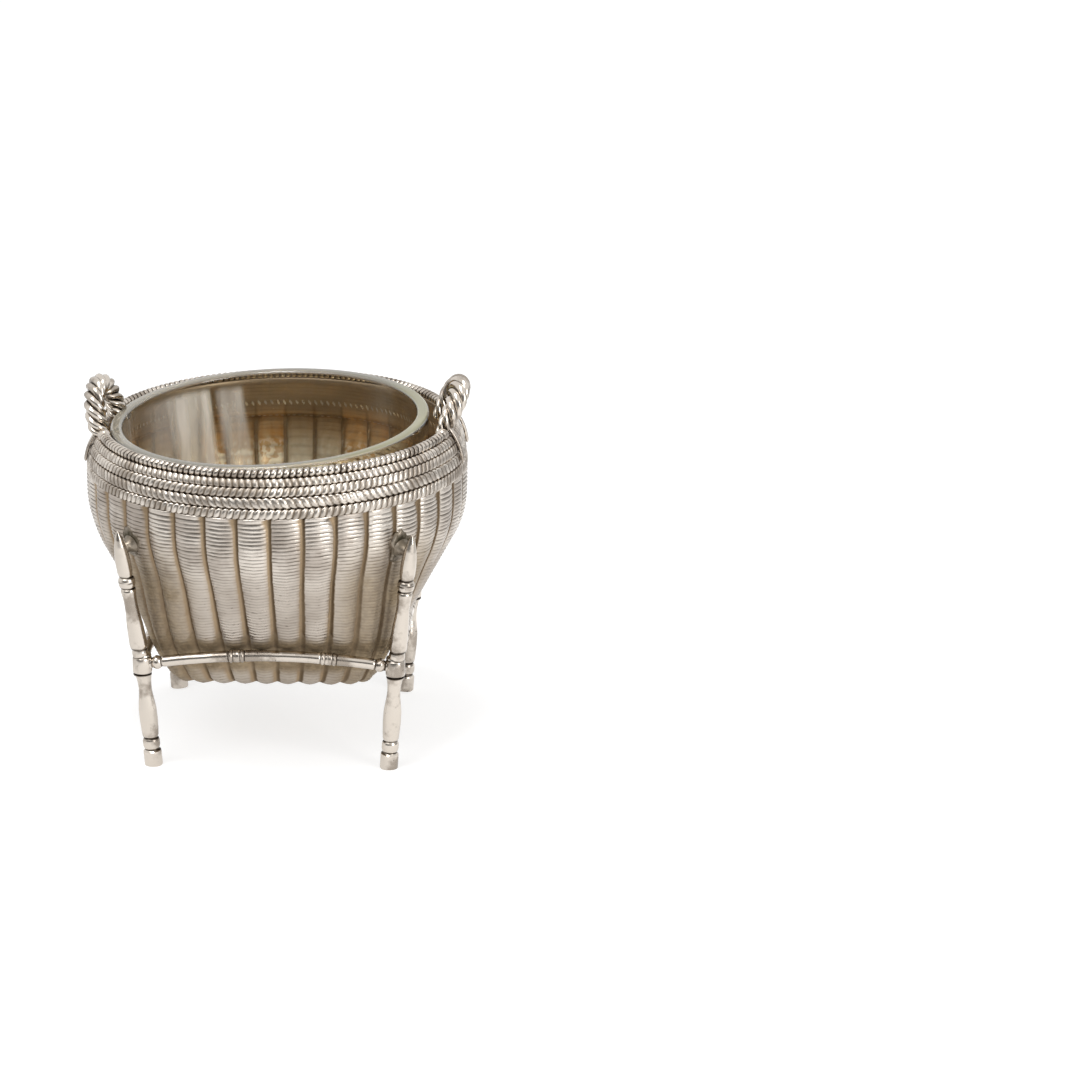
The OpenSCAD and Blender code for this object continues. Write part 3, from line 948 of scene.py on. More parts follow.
@dataclass(frozen=True)
class HandSet:
    """How the hand-raised collar sits: a little wider and higher than drawn, and up on the right."""

    from_z: float = 47.5
    to_z: float = 58.5
    widening: float = 0.04
    lift: float = 0.75
    back_lift: float = 0.3
    right_lift: float = 0.45
    reach: float = 30.5

    def apply(self, piece: bpy.types.Object, widened: bool = True) -> bpy.types.Object:
        """Moves the upper part of a piece to the collar's real set.

        Args:
            piece: The mesh object.
            widened: Whether it is widened as well as lifted.

        Returns:
            The same piece.
        """
        points = points_of(piece) / MM
        share = eased((points[:, 2] - self.from_z) / (self.to_z - self.from_z))
        slope = (self.back_lift * points[:, 1] + self.right_lift * points[:, 0]) / self.reach
        points[:, 2] += share * (self.lift + slope)
        if widened:
            points[:, :2] *= (1 + share * self.widening)[:, None]
        set_points(piece, points)
        return piece


@dataclass
class Basket:
    """The fluted bowl: ribs engraved with weft lines outside, old gilding inside."""

    form: BowlForm
    ribs: int = 36
    groove_depth: float = 0.8
    base_groove_share: float = 0.6
    rib_turn: float = 2.6
    weft_pitch: float = 0.74
    weft_depth: float = 0.17
    # How deep the cut is at each row of a weft
    weft_profile: tuple[float, ...] = (1.0, 0.28, 0.0, 0.28)
    # Distance from the underside's edge to the first weft, and how far the outermost wefts are held level
    plain_edge: float = 1.2
    held_level: float = 1.5
    # Length over which the grooves deepen from the underside's edge
    groove_run: float = 7.0
    # Rows of the grid on the floor, as shares of its radius, and on the inside
    floor_shares: tuple[float, ...] = (0.0, 0.35, 0.6, 0.8, 0.93)
    floor_plain: float = 0.35
    inner_rows: int = 48
    # Samples of the outline along its corner, flank and belly
    skin_steps: tuple[int, int, int] = (120, 600, 400)
    collar_rows: int = 8
    lip_edge: float = 0.15
    # Heights, and what wear has left of the wefts there
    worn_wefts: tuple[tuple[float, ...], tuple[float, ...]] = ((32.0, 44.0), (0.45, 1.0))
    inner_weft_depth: float = 0.07
    # Half width of a groove at the belly and at the foot, as a share of the ribs' pitch
    groove_shares: tuple[float, float] = (0.066, 0.12)
    # The columns of a rib from groove to groove: whether the place is counted in groove widths from the
    # groove's middle or as a share of the crest that is left, that place, share of the groove's depth,
    # share of the wefts, and how much tan patina and how much dark dirt and painted shade lie there; the
    # dark dirt and painted shade lie on the right of each groove
    columns: tuple[tuple[int, float, float, float, float, float], ...] = (
        (0, 0.0, 1.0, 0.0, 1.0, 0.65), (0, 0.75, 0.8, 0.2, 0.8, 1.0), (0, 1.45, 0.48, 0.9, 0.0, 0.05),
        (1, 0.4, 0.2, 1.0, 0.0, 0.0), (1, 1.0, 0.0, 1.0, 0.0, 0.0), (1, 1.6, 0.26, 1.0, 0.0, 0.0),
        (0, -1.6, 0.5, 0.85, 0.4, 0.0), (0, -0.7, 0.85, 0.15, 1.0, 0.1))
    flare: float = 1.7
    flare_mm: float = 1.3
    # The wedge of patina starts this far above the belly's middle and has ended this far below its start
    flare_from: float = 3.5
    flare_length: float = 9.0
    # Least distance of a crest's last column from the next groove, as a share of the ribs' pitch
    crest_margin: float = 0.06
    # Height below which the grooves widen, and above which the inside's collar gets the grooves' dirt and
    # painted shade, fading in
    widen_from: float = 38.0
    collar_from: float = 40.0
    collar_fade: float = 7.0
    collar_share: float = 0.75
    # How unevenly the wefts were cut: their start, weight, slope and bulge, from least to most
    weft_start: tuple[float, float] = (-0.3, 0.3)
    weft_weight: tuple[float, float] = (0.7, 1.15)
    weft_breaks: tuple[float, float] = (0.6, 1.15)
    weft_sway: tuple[float, float] = (-0.1, 0.1)
    rib_bulge: tuple[float, float] = (0.9, 1.1)
    flare_range: tuple[float, float] = (0.2, 1.0)
    most_wefts: int = 90
    seed: int = 7

    def skin(self, inset: float) -> tuple[Array, Array]:
        """Samples the ribbed part of the outline, from the underside's edge to the border.

        Args:
            inset: How far inside the crests the skin lies.

        Returns:
            Points and outward normals, one row each, 0.05 mm apart or less.
        """
        form = self.form
        corner_steps, flank_steps, belly_steps = self.skin_steps
        corner = arc(form.corner_centre, form.base_corner - inset, -90, -form.flank_angle, corner_steps)
        belly = arc(form.belly_centre, form.belly_arc - inset, -form.flank_angle, form.border_from,
                    belly_steps)
        flank = [tuple(p) for p in np.linspace(corner[-1], belly[0], flank_steps)[1:-1]]
        points = np.array(corner + flank + belly)
        along = np.gradient(points, axis=0)
        along /= np.linalg.norm(along, axis=1, keepdims=True)
        return points, np.stack([along[:, 1], -along[:, 0]], axis=1)

    def rows(self) -> dict[str, Array]:
        """Lists the rows of the shell's grid, up the outside and down the inside.

        Returns:
            For each row: place and normal, share of the groove's depth, weft depth with its row in the weft,
            which weft it belongs to, whether it lies inside, and how freely its wefts may stand higher or
            lower.
        """
        form = self.form
        table: list[tuple[float, ...]] = []
        plain, grooved = self.floor_plain, self.base_groove_share
        floor_groove = {share: grooved * max(0.0, share - plain) / (1 - plain) for share in self.floor_shares}

        def flat(r: float, z: float, nr: float, nz: float, groove: float, inside: float) -> None:
            table.append((r, z, nr, nz, groove, 0.0, 0.0, -1.0, inside, 0.0))

        def sample(s: float, length: Array, points: Array, normals: Array) -> tuple[float, ...]:
            place = [float(np.interp(s, length, column)) for grid in (points, normals) for column in grid.T]
            return (*place, grooved + (1 - grooved) * min(1.0, s / self.groove_run))

        def lengths(points: Array) -> Array:
            return np.concatenate([[0.0], np.cumsum(np.linalg.norm(np.diff(points, axis=0), axis=1))])

        # Outside: the underside, the wefts, the collar and the lip
        for share in self.floor_shares:
            flat(form.base_r * share, form.base_z, 0.0, -1.0, floor_groove[share], 0)
        points, normals = self.skin(0.0)
        length = lengths(points)
        per_weft = len(self.weft_profile)
        woven = length[-1] - self.plain_edge
        rows = round(woven / self.weft_pitch) * per_weft
        for k in range(rows):
            s = self.plain_edge + woven * k / rows
            place = sample(s, length, points, normals)
            free = min(1.0, (s - self.plain_edge) / self.held_level, (length[-1] - s) / self.held_level)
            depth = self.weft_depth * float(np.interp(place[1], *self.worn_wefts))
            table.append((*place, self.weft_profile[k % per_weft], depth, k // per_weft, 0.0, free))
        top = math.radians(form.border_from)
        across, up = math.cos(top), math.sin(top)
        flat(*points[-1], across, up, 1.0, 0)
        sheet = form.belly_arc - form.row_proud
        for r, z in arc(form.belly_centre, sheet, form.border_from + 1, form.border_to, self.collar_rows):
            flat(r, z, across, up, 0.0, 0)
        flat(form.lip_r, form.rim_z - self.lip_edge, 1.0, 0.0, 0.0, 0)
        flat(form.lip_r - self.lip_edge, form.rim_z, 0.0, 1.0, 0.0, 0)
        # Inside: the lip, the collar, the back of the wefts and the floor
        flat(form.lip_r - form.lip_width + self.lip_edge, form.rim_z, 0.0, 1.0, 0.0, 1)
        flat(form.lip_r - form.lip_width, form.rim_z - self.lip_edge, 1.0, 0.0, 0.0, 1)
        sheet -= form.wall
        inner = arc(form.belly_centre, sheet, form.border_from + 1, form.border_to, self.collar_rows)
        for r, z in reversed(inner):
            flat(r, z, across, up, 0.0, 1)
        points, normals = self.skin(form.wall)
        length = lengths(points)
        for k in range(self.inner_rows, -1, -1):
            place = sample(length[-1] * k / self.inner_rows, length, points, normals)
            table.append((*place, float(k % 2), self.inner_weft_depth, k // 2, 1.0, 0.0))
        for share in self.floor_shares[-2::-1]:
            flat(form.base_r * share, form.base_z + form.wall, 0.0, -1.0, floor_groove[share], 1)
        names = ("r", "z", "nr", "nz", "groove", "valley", "depth", "weft", "inside", "free")
        return {name: np.array(column) for name, column in zip(names, zip(*table))}

    def build(self) -> bpy.types.Object:
        """Builds the shell.

        Returns:
            The closed shell.
        """
        rows = self.rows()
        count = len(rows["r"])
        per_rib = len(self.columns)
        kind, place, groove_depth, weft_share, tan, dirt_and_shade = (np.array(column) for column in zip(*self.columns))
        rng = np.random.default_rng(self.seed)
        # Each rib's wefts were cut by themselves: they start at their own height, and each cut has its own
        # weight.
        start = rng.uniform(*self.weft_start, self.ribs)
        weight = rng.uniform(*self.weft_weight, (self.ribs, self.most_wefts))
        broken = rng.uniform(*self.weft_breaks, (self.ribs, self.most_wefts, per_rib))
        sway = rng.uniform(*self.weft_sway, (self.ribs, self.most_wefts))
        # The edges of the ribs bulge a little at every weft, as in real basketwork.
        bulge = rng.uniform(*self.rib_bulge, (self.ribs, 2, self.most_wefts))
        tone = rng.uniform(0.0, 1.0, self.ribs)
        # Under the border each rib starts with its own rounded shoulder, which leaves a wedge of patina
        # beside it.
        flared = rng.uniform(*self.flare_range, self.ribs)
        low = np.clip((self.widen_from - rows["z"]) / (self.widen_from - self.form.base_z), 0, 1)
        width = self.groove_shares[0] + (self.groove_shares[1] - self.groove_shares[0]) * low
        flare_z = self.form.belly_centre[1] + self.flare_from

        def surface(u: Array, v: Array) -> tuple[Array, dict[str, Array]]:
            column = np.rint(u * self.ribs * per_rib).astype(int)
            row = np.rint(v * (count - 1)).astype(int)
            at = {name: values[row] for name, values in rows.items()}
            rib, part = (column // per_rib) % self.ribs, column % per_rib
            weft = np.clip(at["weft"].astype(int), 0, self.most_wefts - 1)
            woven, inside = at["weft"] >= 0, at["inside"] > 0
            half = width[row] * np.where(woven, bulge[rib, (part > per_rib // 2).astype(int), weft], 1.0)
            below = np.clip(flare_z - at["z"], 0, self.flare_length) / self.flare_mm
            wedge = 1 + self.flare * flared[rib] * np.exp(-below**1.5) * (place[part] < 0) * woven
            on_crest = half * 1.5 + (0.5 - half * 1.5) * place[part]
            share = np.where(kind[part] > 0, on_crest, (half * place[part] * wedge) % 1.0)
            limit = (half * place[-2] * wedge) % 1.0 - self.crest_margin
            share = np.where(part == per_rib - 3, np.minimum(share, limit), share)
            turns = (column // per_rib + share) / self.ribs + self.rib_turn / 360 - 0.25
            # The seam's two columns lie at the same place, so that it closes.
            angle = (turns % 1.0) * FULL_TURN
            on_rib = weft_share[part] * woven
            raised = start[rib] + sway[rib, weft] * (share - 0.5) * 2
            slide = on_rib * np.where(inside, 0.0, raised) * at["free"]
            valley = at["valley"] * on_rib * weight[rib, weft] * broken[rib, weft, part]
            depth = self.groove_depth * groove_depth[part] * at["groove"] + valley * at["depth"]
            r = at["r"] - depth * at["nr"] - slide * at["nz"]
            z = at["z"] - depth * at["nz"] + slide * at["nr"]
            plan_x, plan_y = self.form.plan(angle, z)
            ribbed = (groove_depth[part] > 0) * (at["groove"] > 0)
            # Inside, the grooves' dirt and painted shade carry on up the plain collar, fading upwards.
            rising = np.clip((self.form.rim_z - at["z"]) / self.collar_fade, 0, 1)
            rib_shade = self.collar_share * rising * (at["z"] > self.collar_from)
            marked = groove_depth[part] * np.maximum(at["groove"], rib_shade)
            values = {"groove": np.where(inside, marked, tan[part] * ribbed), "dirt_and_shade": dirt_and_shade[part] * ribbed,
                      "weft": valley, "inside": at["inside"], "tone": tone[rib],
                      "corner": np.abs(np.sin(2 * angle)) ** 4}
            return np.stack([r * plan_x, r * plan_y, z], axis=1), values

        return HandSet().apply(rolled("basket_shell", self.ribs * per_rib, count - 1, surface))

    def dress(self, shell: bpy.types.Object, outside: bpy.types.Material, inside: bpy.types.Material) -> None:
        """Gives the outside and the inside their finishes.

        Args:
            shell: The shell.
            outside: Finish of the outside.
            inside: Finish of the inside.
        """
        shell.data.materials.clear()
        shell.data.materials.append(outside)
        shell.data.materials.append(inside)
        flags = np.empty(len(shell.data.vertices), dtype=np.float32)
        shell.data.attributes["inside"].data.foreach_get("value", flags)
        for face in shell.data.polygons:
            face.material_index = int(all(flags[i] > 0.5 for i in face.vertices))
        register(shell, Body.HOLDER, Slot.BASKET, "basket_body")


@dataclass
class RopedWire:
    """A wire twisted from strands and bent round the basket."""

    name: str
    centre: tuple[float, float]
    radius: float
    strands: int
    slant: Slant
    start: float = 0.0
    sweep: float = 360.0
    twist: int = 3
    strand_depth: float = 0.24
    # How sharp the cuts between the strands are, and how unevenly the strands lie
    cut_power: float = 1.25
    unevenness: float = 0.25
    steps_per_strand: int = 7
    # Steps over which an open end is rounded off
    end_steps: int = 3
    section_steps: int = 16
    # A rope on the rim is flat where it lies on the lip, inside this radius, and hangs over outside it
    flat_z: float | None = None
    flat_r: float = 0.0
    # How much a hammered row is squared off, and the way that its flat face looks, in degrees above level
    squared: float = 0.0
    facing: float = 0.0

    def build(self) -> bpy.types.Object:
        """Builds the wire, with the strands as real ridges.

        Returns:
            The closed wire.
        """
        share = self.sweep / 360
        along = round(self.strands * share) * self.steps_per_strand
        whole = self.sweep >= 360
        tone = np.random.default_rng(self.strands + self.twist).uniform(0, 1, self.strands)

        def surface(u: Array, v: Array) -> tuple[Array, dict[str, Array]]:
            angle = math.radians(self.start) + u * math.radians(self.sweep)
            around = v * FULL_TURN
            uneven = self.unevenness * wander(angle, len(self.name) * 31 + self.strands)
            phase = self.strands * angle - self.slant.value * self.twist * around + uneven
            ridge = np.abs(np.cos(phase / 2))
            strand = np.floor(phase / FULL_TURN + 0.5).astype(int) % len(tone)
            radius = self.radius * (1 - self.strand_depth * (1 - ridge) ** self.cut_power)
            if not whole:
                end = np.clip(np.minimum(u, 1 - u) * along / self.end_steps, 0, 1)
                radius = radius * np.sqrt(np.clip(end * (2 - end), 0, 1))
            face = math.radians(self.facing)
            out = radius * squared(np.cos(around), 1 - self.squared)
            up = radius * squared(np.sin(around), 1 - self.squared)
            r = self.centre[0] + out * math.cos(face) - up * math.sin(face)
            z = self.centre[1] + out * math.sin(face) + up * math.cos(face)
            if self.flat_z is not None:
                z = np.where(r < self.flat_r, np.maximum(z, self.flat_z), z)
            points = np.stack([r * np.cos(angle), r * np.sin(angle), z], axis=1)
            return points, {"gap": 1 - ridge, "tone": tone[strand]}

        return HandSet().apply(rolled(self.name, along, self.section_steps, surface))


@dataclass
class Border:
    """The roped border: four rows round the collar and a rope in two halves on the rim."""

    form: BowlForm
    row_gap: float = -0.12
    rope_d: float = 1.85
    rope_seat_share: float = 0.5
    rope_offset: float = 0.3
    row_squared: float = 0.5
    # Gap between the rope's flat underside and the lip
    rope_clearance: float = 0.02
    knob_d: float = 2.4
    knob_y: float = 7.9
    # Depth of a knob's waist as a share of its radius, and the waist's width in radians
    knob_waist: tuple[float, float] = (0.12, 0.16)
    knob_dirt: float = 0.1
    knob_facets: int = 20
    # From the lowest row up: strands round the basket, the way they lean and how steeply they are twisted
    rows: tuple[tuple[int, Slant, int], ...] = ((182, Slant.FORWARD, 2), (165, Slant.BACKWARD, 3),
                                                (180, Slant.FORWARD, 2), (177, Slant.BACKWARD, 1))
    rope_strands: int = 176

    def build_rows(self, finish: bpy.types.Material) -> None:
        """Builds the four rows.

        Args:
            finish: Their finish.
        """
        form = self.form
        edges = form.row_edges
        for index, (strands, slant, twist) in enumerate(self.rows, start=1):
            middle = math.radians((edges[index - 1] + edges[index]) / 2)
            half_sine = math.sin(math.radians(edges[index] - edges[index - 1]) / 2)
            radius = (form.belly_arc * half_sine - self.row_gap / 2) / (1 + half_sine)
            reach = form.belly_arc - radius
            centre = (form.belly_centre[0] + reach * math.cos(middle),
                      form.belly_centre[1] + reach * math.sin(middle))
            wire = RopedWire(f"roped_row_{index}", centre, radius, strands, slant, twist=twist,
                             squared=self.row_squared, facing=math.degrees(middle))
            finish_piece(wire.build(), Body.HOLDER, Slot.BORDER, finish, f"rope_row_{index}")

    def build_rim(self, finish: bpy.types.Material) -> None:
        """Builds the two halves of the rim's rope, with a knob at each end.

        Args:
            finish: Their finish.
        """
        form = self.form
        rope_r = form.lip_r - form.lip_width / 2 + self.rope_offset
        rope_z = form.rim_z + self.rope_d / 2 * self.rope_seat_share
        edge = math.degrees(math.asin(self.knob_y / rope_r))
        sweep = 180 - 2 * edge
        for side, start in (("back", edge), ("front", 180 + edge)):
            rope = RopedWire("rim_" + side, (rope_r, rope_z), self.rope_d / 2, self.rope_strands,
                             Slant.FORWARD, start, sweep, twist=1, flat_z=form.rim_z + self.rope_clearance,
                             flat_r=form.lip_r + self.rope_clearance)
            parts = [rope.build()] + [self.knob(rope_r, rope_z, end) for end in (start, start + sweep)]
            piece = joined(f"rim_rope_{side}_piece", parts)
            finish_piece(piece, Body.HOLDER, Slot.BRIGHT, finish, f"rim_rope_{side}")

    def knob(self, radius: float, height: float, degrees: float) -> bpy.types.Object:
        """Builds one knob: a small ball, drawn in where the rope was tied.

        Args:
            radius: Distance from the basket's axis.
            height: Height of its middle.
            degrees: Its place round the rim.

        Returns:
            The closed knob.
        """
        r = self.knob_d / 2
        waist, width = self.knob_waist
        outline = [(r * math.cos(a) * (1 - waist * math.exp(-((a / width) ** 2))), r * math.sin(a))
                   for a in np.linspace(-math.pi / 2, math.pi / 2, self.knob_facets - 1)[1:-1]]
        ball = spun("knob", [(0.0, -r), *outline, (0.0, r)], self.knob_facets)
        store(ball, {"gap": np.full(len(ball.data.vertices), self.knob_dirt)})
        place = turn(degrees, "Z") @ shift(radius, 0, height) @ turn(90, "X")
        return HandSet().apply(moved(ball, place))


# Handles


@dataclass
class Handle:
    """An arch of twisted rope on two legs, with a strap from each leg down over the border."""

    form: BowlForm
    name: str
    # +1 for the right handle and -1 for the left one, which is bent the other way; both are twisted alike
    side: int
    height: float
    out: float
    lean: float
    taper_mm: float
    turn_out: float
    rope_d: float = 3.9
    half_span: float = 5.7
    strands: int = 4
    lay: float = 8.2
    foot_share: float = 0.5
    # How far each leg reaches down beside the lip, and how far a strand's end is rounded off
    root: float = 0.8
    strand_end: float = 0.3
    # The strands press into one another, so they are thicker than round ones that just touch.
    strand_swell: float = 1.08
    strand_steps: tuple[int, int] = (200, 12)
    strap_t: float = 0.6
    strap_w: float = 1.3
    # Share of a strap's width left at its lower end, and shares of its length its ends are rounded over
    strap_narrow: float = 0.62
    strap_ends: tuple[float, float] = (0.12, 0.08)
    strap_gap: float = 0.04
    strap_power: float = 0.7
    strap_steps: tuple[int, int] = (28, 16)

    def path(self, s: Array) -> tuple[Array, Array, Array]:
        """Follows the middle of the rope from foot to foot.

        Args:
            s: Distances from the front foot, in millimetres.

        Returns:
            For each distance: the place in the arch's own plane, across and up, and the angle round its bend.
        """
        lift = self.height - self.half_span
        bend = self.half_span * math.pi
        t = np.clip((s - lift) / bend, 0, 1) * math.pi
        across = -self.half_span * np.cos(t)
        up = lift + self.half_span * np.sin(t)
        up = up + np.minimum(s - lift, 0) - np.maximum(s - lift - bend, 0)
        return across, up, t

    @property
    def length(self) -> float:
        """Length of the rope from foot to foot."""
        return 2 * (self.height - self.half_span) + self.half_span * math.pi

    def strand(self, index: int) -> bpy.types.Object:
        """Builds one strand of the rope.

        Args:
            index: Which strand.

        Returns:
            The closed strand.
        """
        radius = self.rope_d / 2
        ring = math.sin(math.pi / self.strands)
        strand_r = radius * ring / (1 + ring) * self.strand_swell
        helix_r = radius - strand_r
        start, end = -self.root, self.length + self.root
        form = self.form
        lean, facing = math.radians(self.lean), math.radians(self.turn_out)

        def surface(u: Array, v: Array) -> tuple[Array, dict[str, Array]]:
            s = start + (end - start) * u
            across, up, t = self.path(s)
            end_gap = np.minimum(s - start, end - s)
            grown = np.sin(np.clip(end_gap / self.taper_mm, 0, 1) * math.pi / 2)
            size = self.foot_share + (1 - self.foot_share) * grown
            close = np.clip(end_gap / self.strand_end, 0, 1)
            turn_angle = -self.side * FULL_TURN * (s / self.lay + index / self.strands)
            around = v * FULL_TURN
            section = strand_r * close * size
            # In the rope's own section: p points outwards in the arch's plane, q out of the plane
            p = helix_r * size * np.cos(turn_angle) + section * np.cos(around + turn_angle)
            q = helix_r * size * np.sin(turn_angle) + section * np.sin(around + turn_angle)
            y = across - p * np.cos(t)
            h = up + p * np.sin(t)
            x = h * math.sin(lean) + q * math.cos(lean)
            away = form.lip_r + self.out + x * math.cos(facing) - y * math.sin(facing)
            points = np.stack([self.side * away, x * math.sin(facing) + y * math.cos(facing),
                               form.rim_z + h * math.cos(lean) - q * math.sin(lean)], axis=1)
            # Dirt stays between the strands, where each turns in towards the rope's core.
            return points, {"gap": np.clip(0.6 - 1.2 * np.cos(around), 0, 1)}

        return HandSet().apply(rolled(f"strand_{index}", *self.strand_steps, surface), widened=False)

    def strap(self, side: int) -> bpy.types.Object:
        """Builds the strap that runs from a leg down over the border, narrowing to a round end.

        Args:
            side: -1 for the front leg and 1 for the back one.

        Returns:
            The closed strap.
        """
        form = self.form
        edges = form.row_edges
        start, end = edges[1], 2 * edges[-1] - edges[-2]
        middle = math.atan(self.half_span / (form.lip_r + self.out))

        def surface(u: Array, v: Array) -> tuple[Array, dict[str, Array]]:
            a = np.radians(start + (end - start) * u)
            around = v * FULL_TURN
            tip, top = (np.sqrt(1 - (1 - np.clip(gap / share, 0, 1)) ** 2)
                        for gap, share in zip((u, 1 - u), self.strap_ends))
            width = self.strap_w / 2 * (self.strap_narrow + (1 - self.strap_narrow) * u) * tip * top
            thick = self.strap_t / 2 * tip * top
            reach = (form.belly_arc + self.strap_t / 2 + self.strap_gap
                     + thick * squared(np.sin(around), self.strap_power))
            r = form.belly_centre[0] + reach * np.cos(a)
            z = form.belly_centre[1] + reach * np.sin(a)
            angle = side * middle + width * np.cos(around) / r
            points = np.stack([self.side * r * np.cos(angle), r * np.sin(angle), z], axis=1)
            return points, {"gap": np.clip(np.abs(np.cos(around)) - 0.75, 0, 1)}

        return HandSet().apply(rolled(f"strap_{side}", *self.strap_steps, surface))

    def build(self, finish: bpy.types.Material) -> None:
        """Builds the handle.

        Args:
            finish: Its finish.
        """
        parts = [self.strand(index) for index in range(self.strands)] + [self.strap(side) for side in (-1, 1)]
        handle = joined(f"rope_handle_{self.name}", parts)
        finish_piece(handle, Body.HOLDER, Slot.BRIGHT, finish, f"handle_{self.name}")


# Stand


@dataclass
class Stand:
    """Four turned legs, four arched stretchers and four pegs, styled as bamboo."""

    form: BowlForm
    leg_r: float = 1.7
    joint_z: float = 19.8
    tip_drop: float = 1.3
    tip_stand_off: float = 2.55
    foot_inset: float = 1.5
    joint_half: float = 2.1
    stretcher_d: float = 2.3
    front_rise: float = 2.8
    other_rise: float = 0.5
    node_shares: tuple[float, float] = (-0.123, 0.239)
    node_pitch: float = 2.1
    peg_drop: float = 4.5
    peg_d: float = 2.0
    peg_foot_d: float = 3.4
    seat: float = 0.04
    turned_steps: int = 40
    # The outline of a leg is drawn at no fewer than this many levels.
    outline_levels: int = 60
    block_swell: float = 0.08
    # The stretcher: thickness between its nodes as a share, and how wide the swelling round a node is
    waist_share: float = 0.88
    node_swell: float = 2.0
    # Rings at a node, cuts beside them, the mark between them, the balls at the ends and the cuts beside
    # those: each one's height or depth, and its half width
    ring: tuple[float, float] = (0.13, 0.2)
    ring_cut: tuple[float, float] = (0.15, 0.12)
    mark: tuple[float, float] = (0.5, 0.25)
    ball: tuple[float, float] = (0.28, 0.55)
    ball_cut: tuple[float, float] = (0.16, 0.2)
    # Places of those cuts: on both sides of the rings' middle, with the inner one's share, and by the balls
    cut_outside: float = 0.42
    cut_inside: float = 0.4
    inner_cut_share: float = 0.8
    ball_cut_away: float = 0.9
    bar_end_share: float = 0.004
    bar_steps: tuple[int, int] = (320, 24)
    # The solder round a peg's foot: its middle above the peg, half height, half width, and how it thins out
    solder_lift: float = 0.4
    solder_high: float = 3.2
    solder_wide: float = 2.4
    solder_depths: tuple[float, float, float] = (-1.0, 0.05, 0.5)
    # The wavy edge of the solder: waves round it, their height and where they start, in radians
    solder_waves: tuple[tuple[int, float, float], ...] = ((3, 0.1, 1.1), (5, 0.08, 0.3), (11, 0.05, 2.0))
    # Cuts beside a leg's rings: share of the length and half width, below and above the joint
    lower_cuts: tuple[tuple[float, float], ...] = ((0.16, 0.012), (0.275, 0.014), (0.915, 0.012))
    upper_cuts: tuple[tuple[float, float], ...] = ((0.12, 0.012), (0.578, 0.01), (0.622, 0.006), (0.66, 0.01))
    # The joint's own cuts: distance from its ends and half width, in millimetres
    joint_cuts: tuple[float, float] = (0.5, 0.14)
    # The joint's turned outline: share of its radius and distance from its end
    joint_outline: tuple[tuple[float, float], ...] = (
        (0.0, 0.0), (0.8, 0.0), (0.92, 0.1), (0.95, 0.35), (0.82, 0.5), (0.95, 0.65), (1.0, 0.9))
    # Turned outline below and above the joint: share of the length, share of the leg's radius
    lower_shares: tuple[tuple[float, float], ...] = (
        (0.0, 0.93), (0.01, 0.98), (0.13, 0.98), (0.145, 0.95), (0.155, 0.8), (0.165, 0.74), (0.18, 0.86),
        (0.2, 0.92), (0.24, 0.92), (0.26, 0.86), (0.275, 0.72), (0.285, 0.8), (0.3, 0.87), (0.36, 0.93),
        (0.46, 0.98), (0.56, 0.97), (0.64, 0.86), (0.7, 0.75), (0.76, 0.7), (0.83, 0.74), (0.88, 0.84),
        (0.9, 0.9), (0.91, 0.8), (0.925, 0.88), (1.0, 0.86))
    upper_shares: tuple[tuple[float, float], ...] = (
        (0.0, 0.86), (0.1, 0.86), (0.12, 0.78), (0.135, 0.93), (0.16, 0.97), (0.22, 0.93), (0.3, 0.88),
        (0.38, 0.76), (0.45, 0.7), (0.51, 0.72), (0.555, 0.82), (0.57, 0.78), (0.578, 0.66), (0.59, 0.82),
        (0.605, 0.9), (0.635, 0.9), (0.65, 0.82), (0.66, 0.64), (0.672, 0.74), (0.7, 0.82), (0.76, 0.84),
        (0.82, 0.78), (0.88, 0.66), (0.94, 0.44), (0.98, 0.2), (0.995, 0.08))

    @property
    def joint_xy(self) -> float:
        """Distance of a joint from the basket's axis, along X and along Y."""
        form = self.form
        return float((form.flank_reach + self.stretcher_d / 2 + self.seat - form.normal[1] * self.joint_z)
                     / form.normal[0])

    def outline(self, shares: tuple[tuple[float, float], ...], length: float) -> list[tuple[float, float]]:
        """Smooths a list of turned shares into a lathe outline.

        Args:
            shares: Share of the length, share of the leg's radius.
            length: Length, in millimetres.

        Returns:
            Points of radius and height, from axis to axis.
        """
        along = np.array([s[0] for s in shares])
        radius = np.array([s[1] for s in shares]) * self.leg_r
        fine = np.unique(np.concatenate([along, np.linspace(along[0], along[-1], self.outline_levels)]))
        body = [(float(np.interp(s, along, radius)), float(s * length)) for s in fine]
        return [(0.0, body[0][1])] + body + [(0.0, length)]

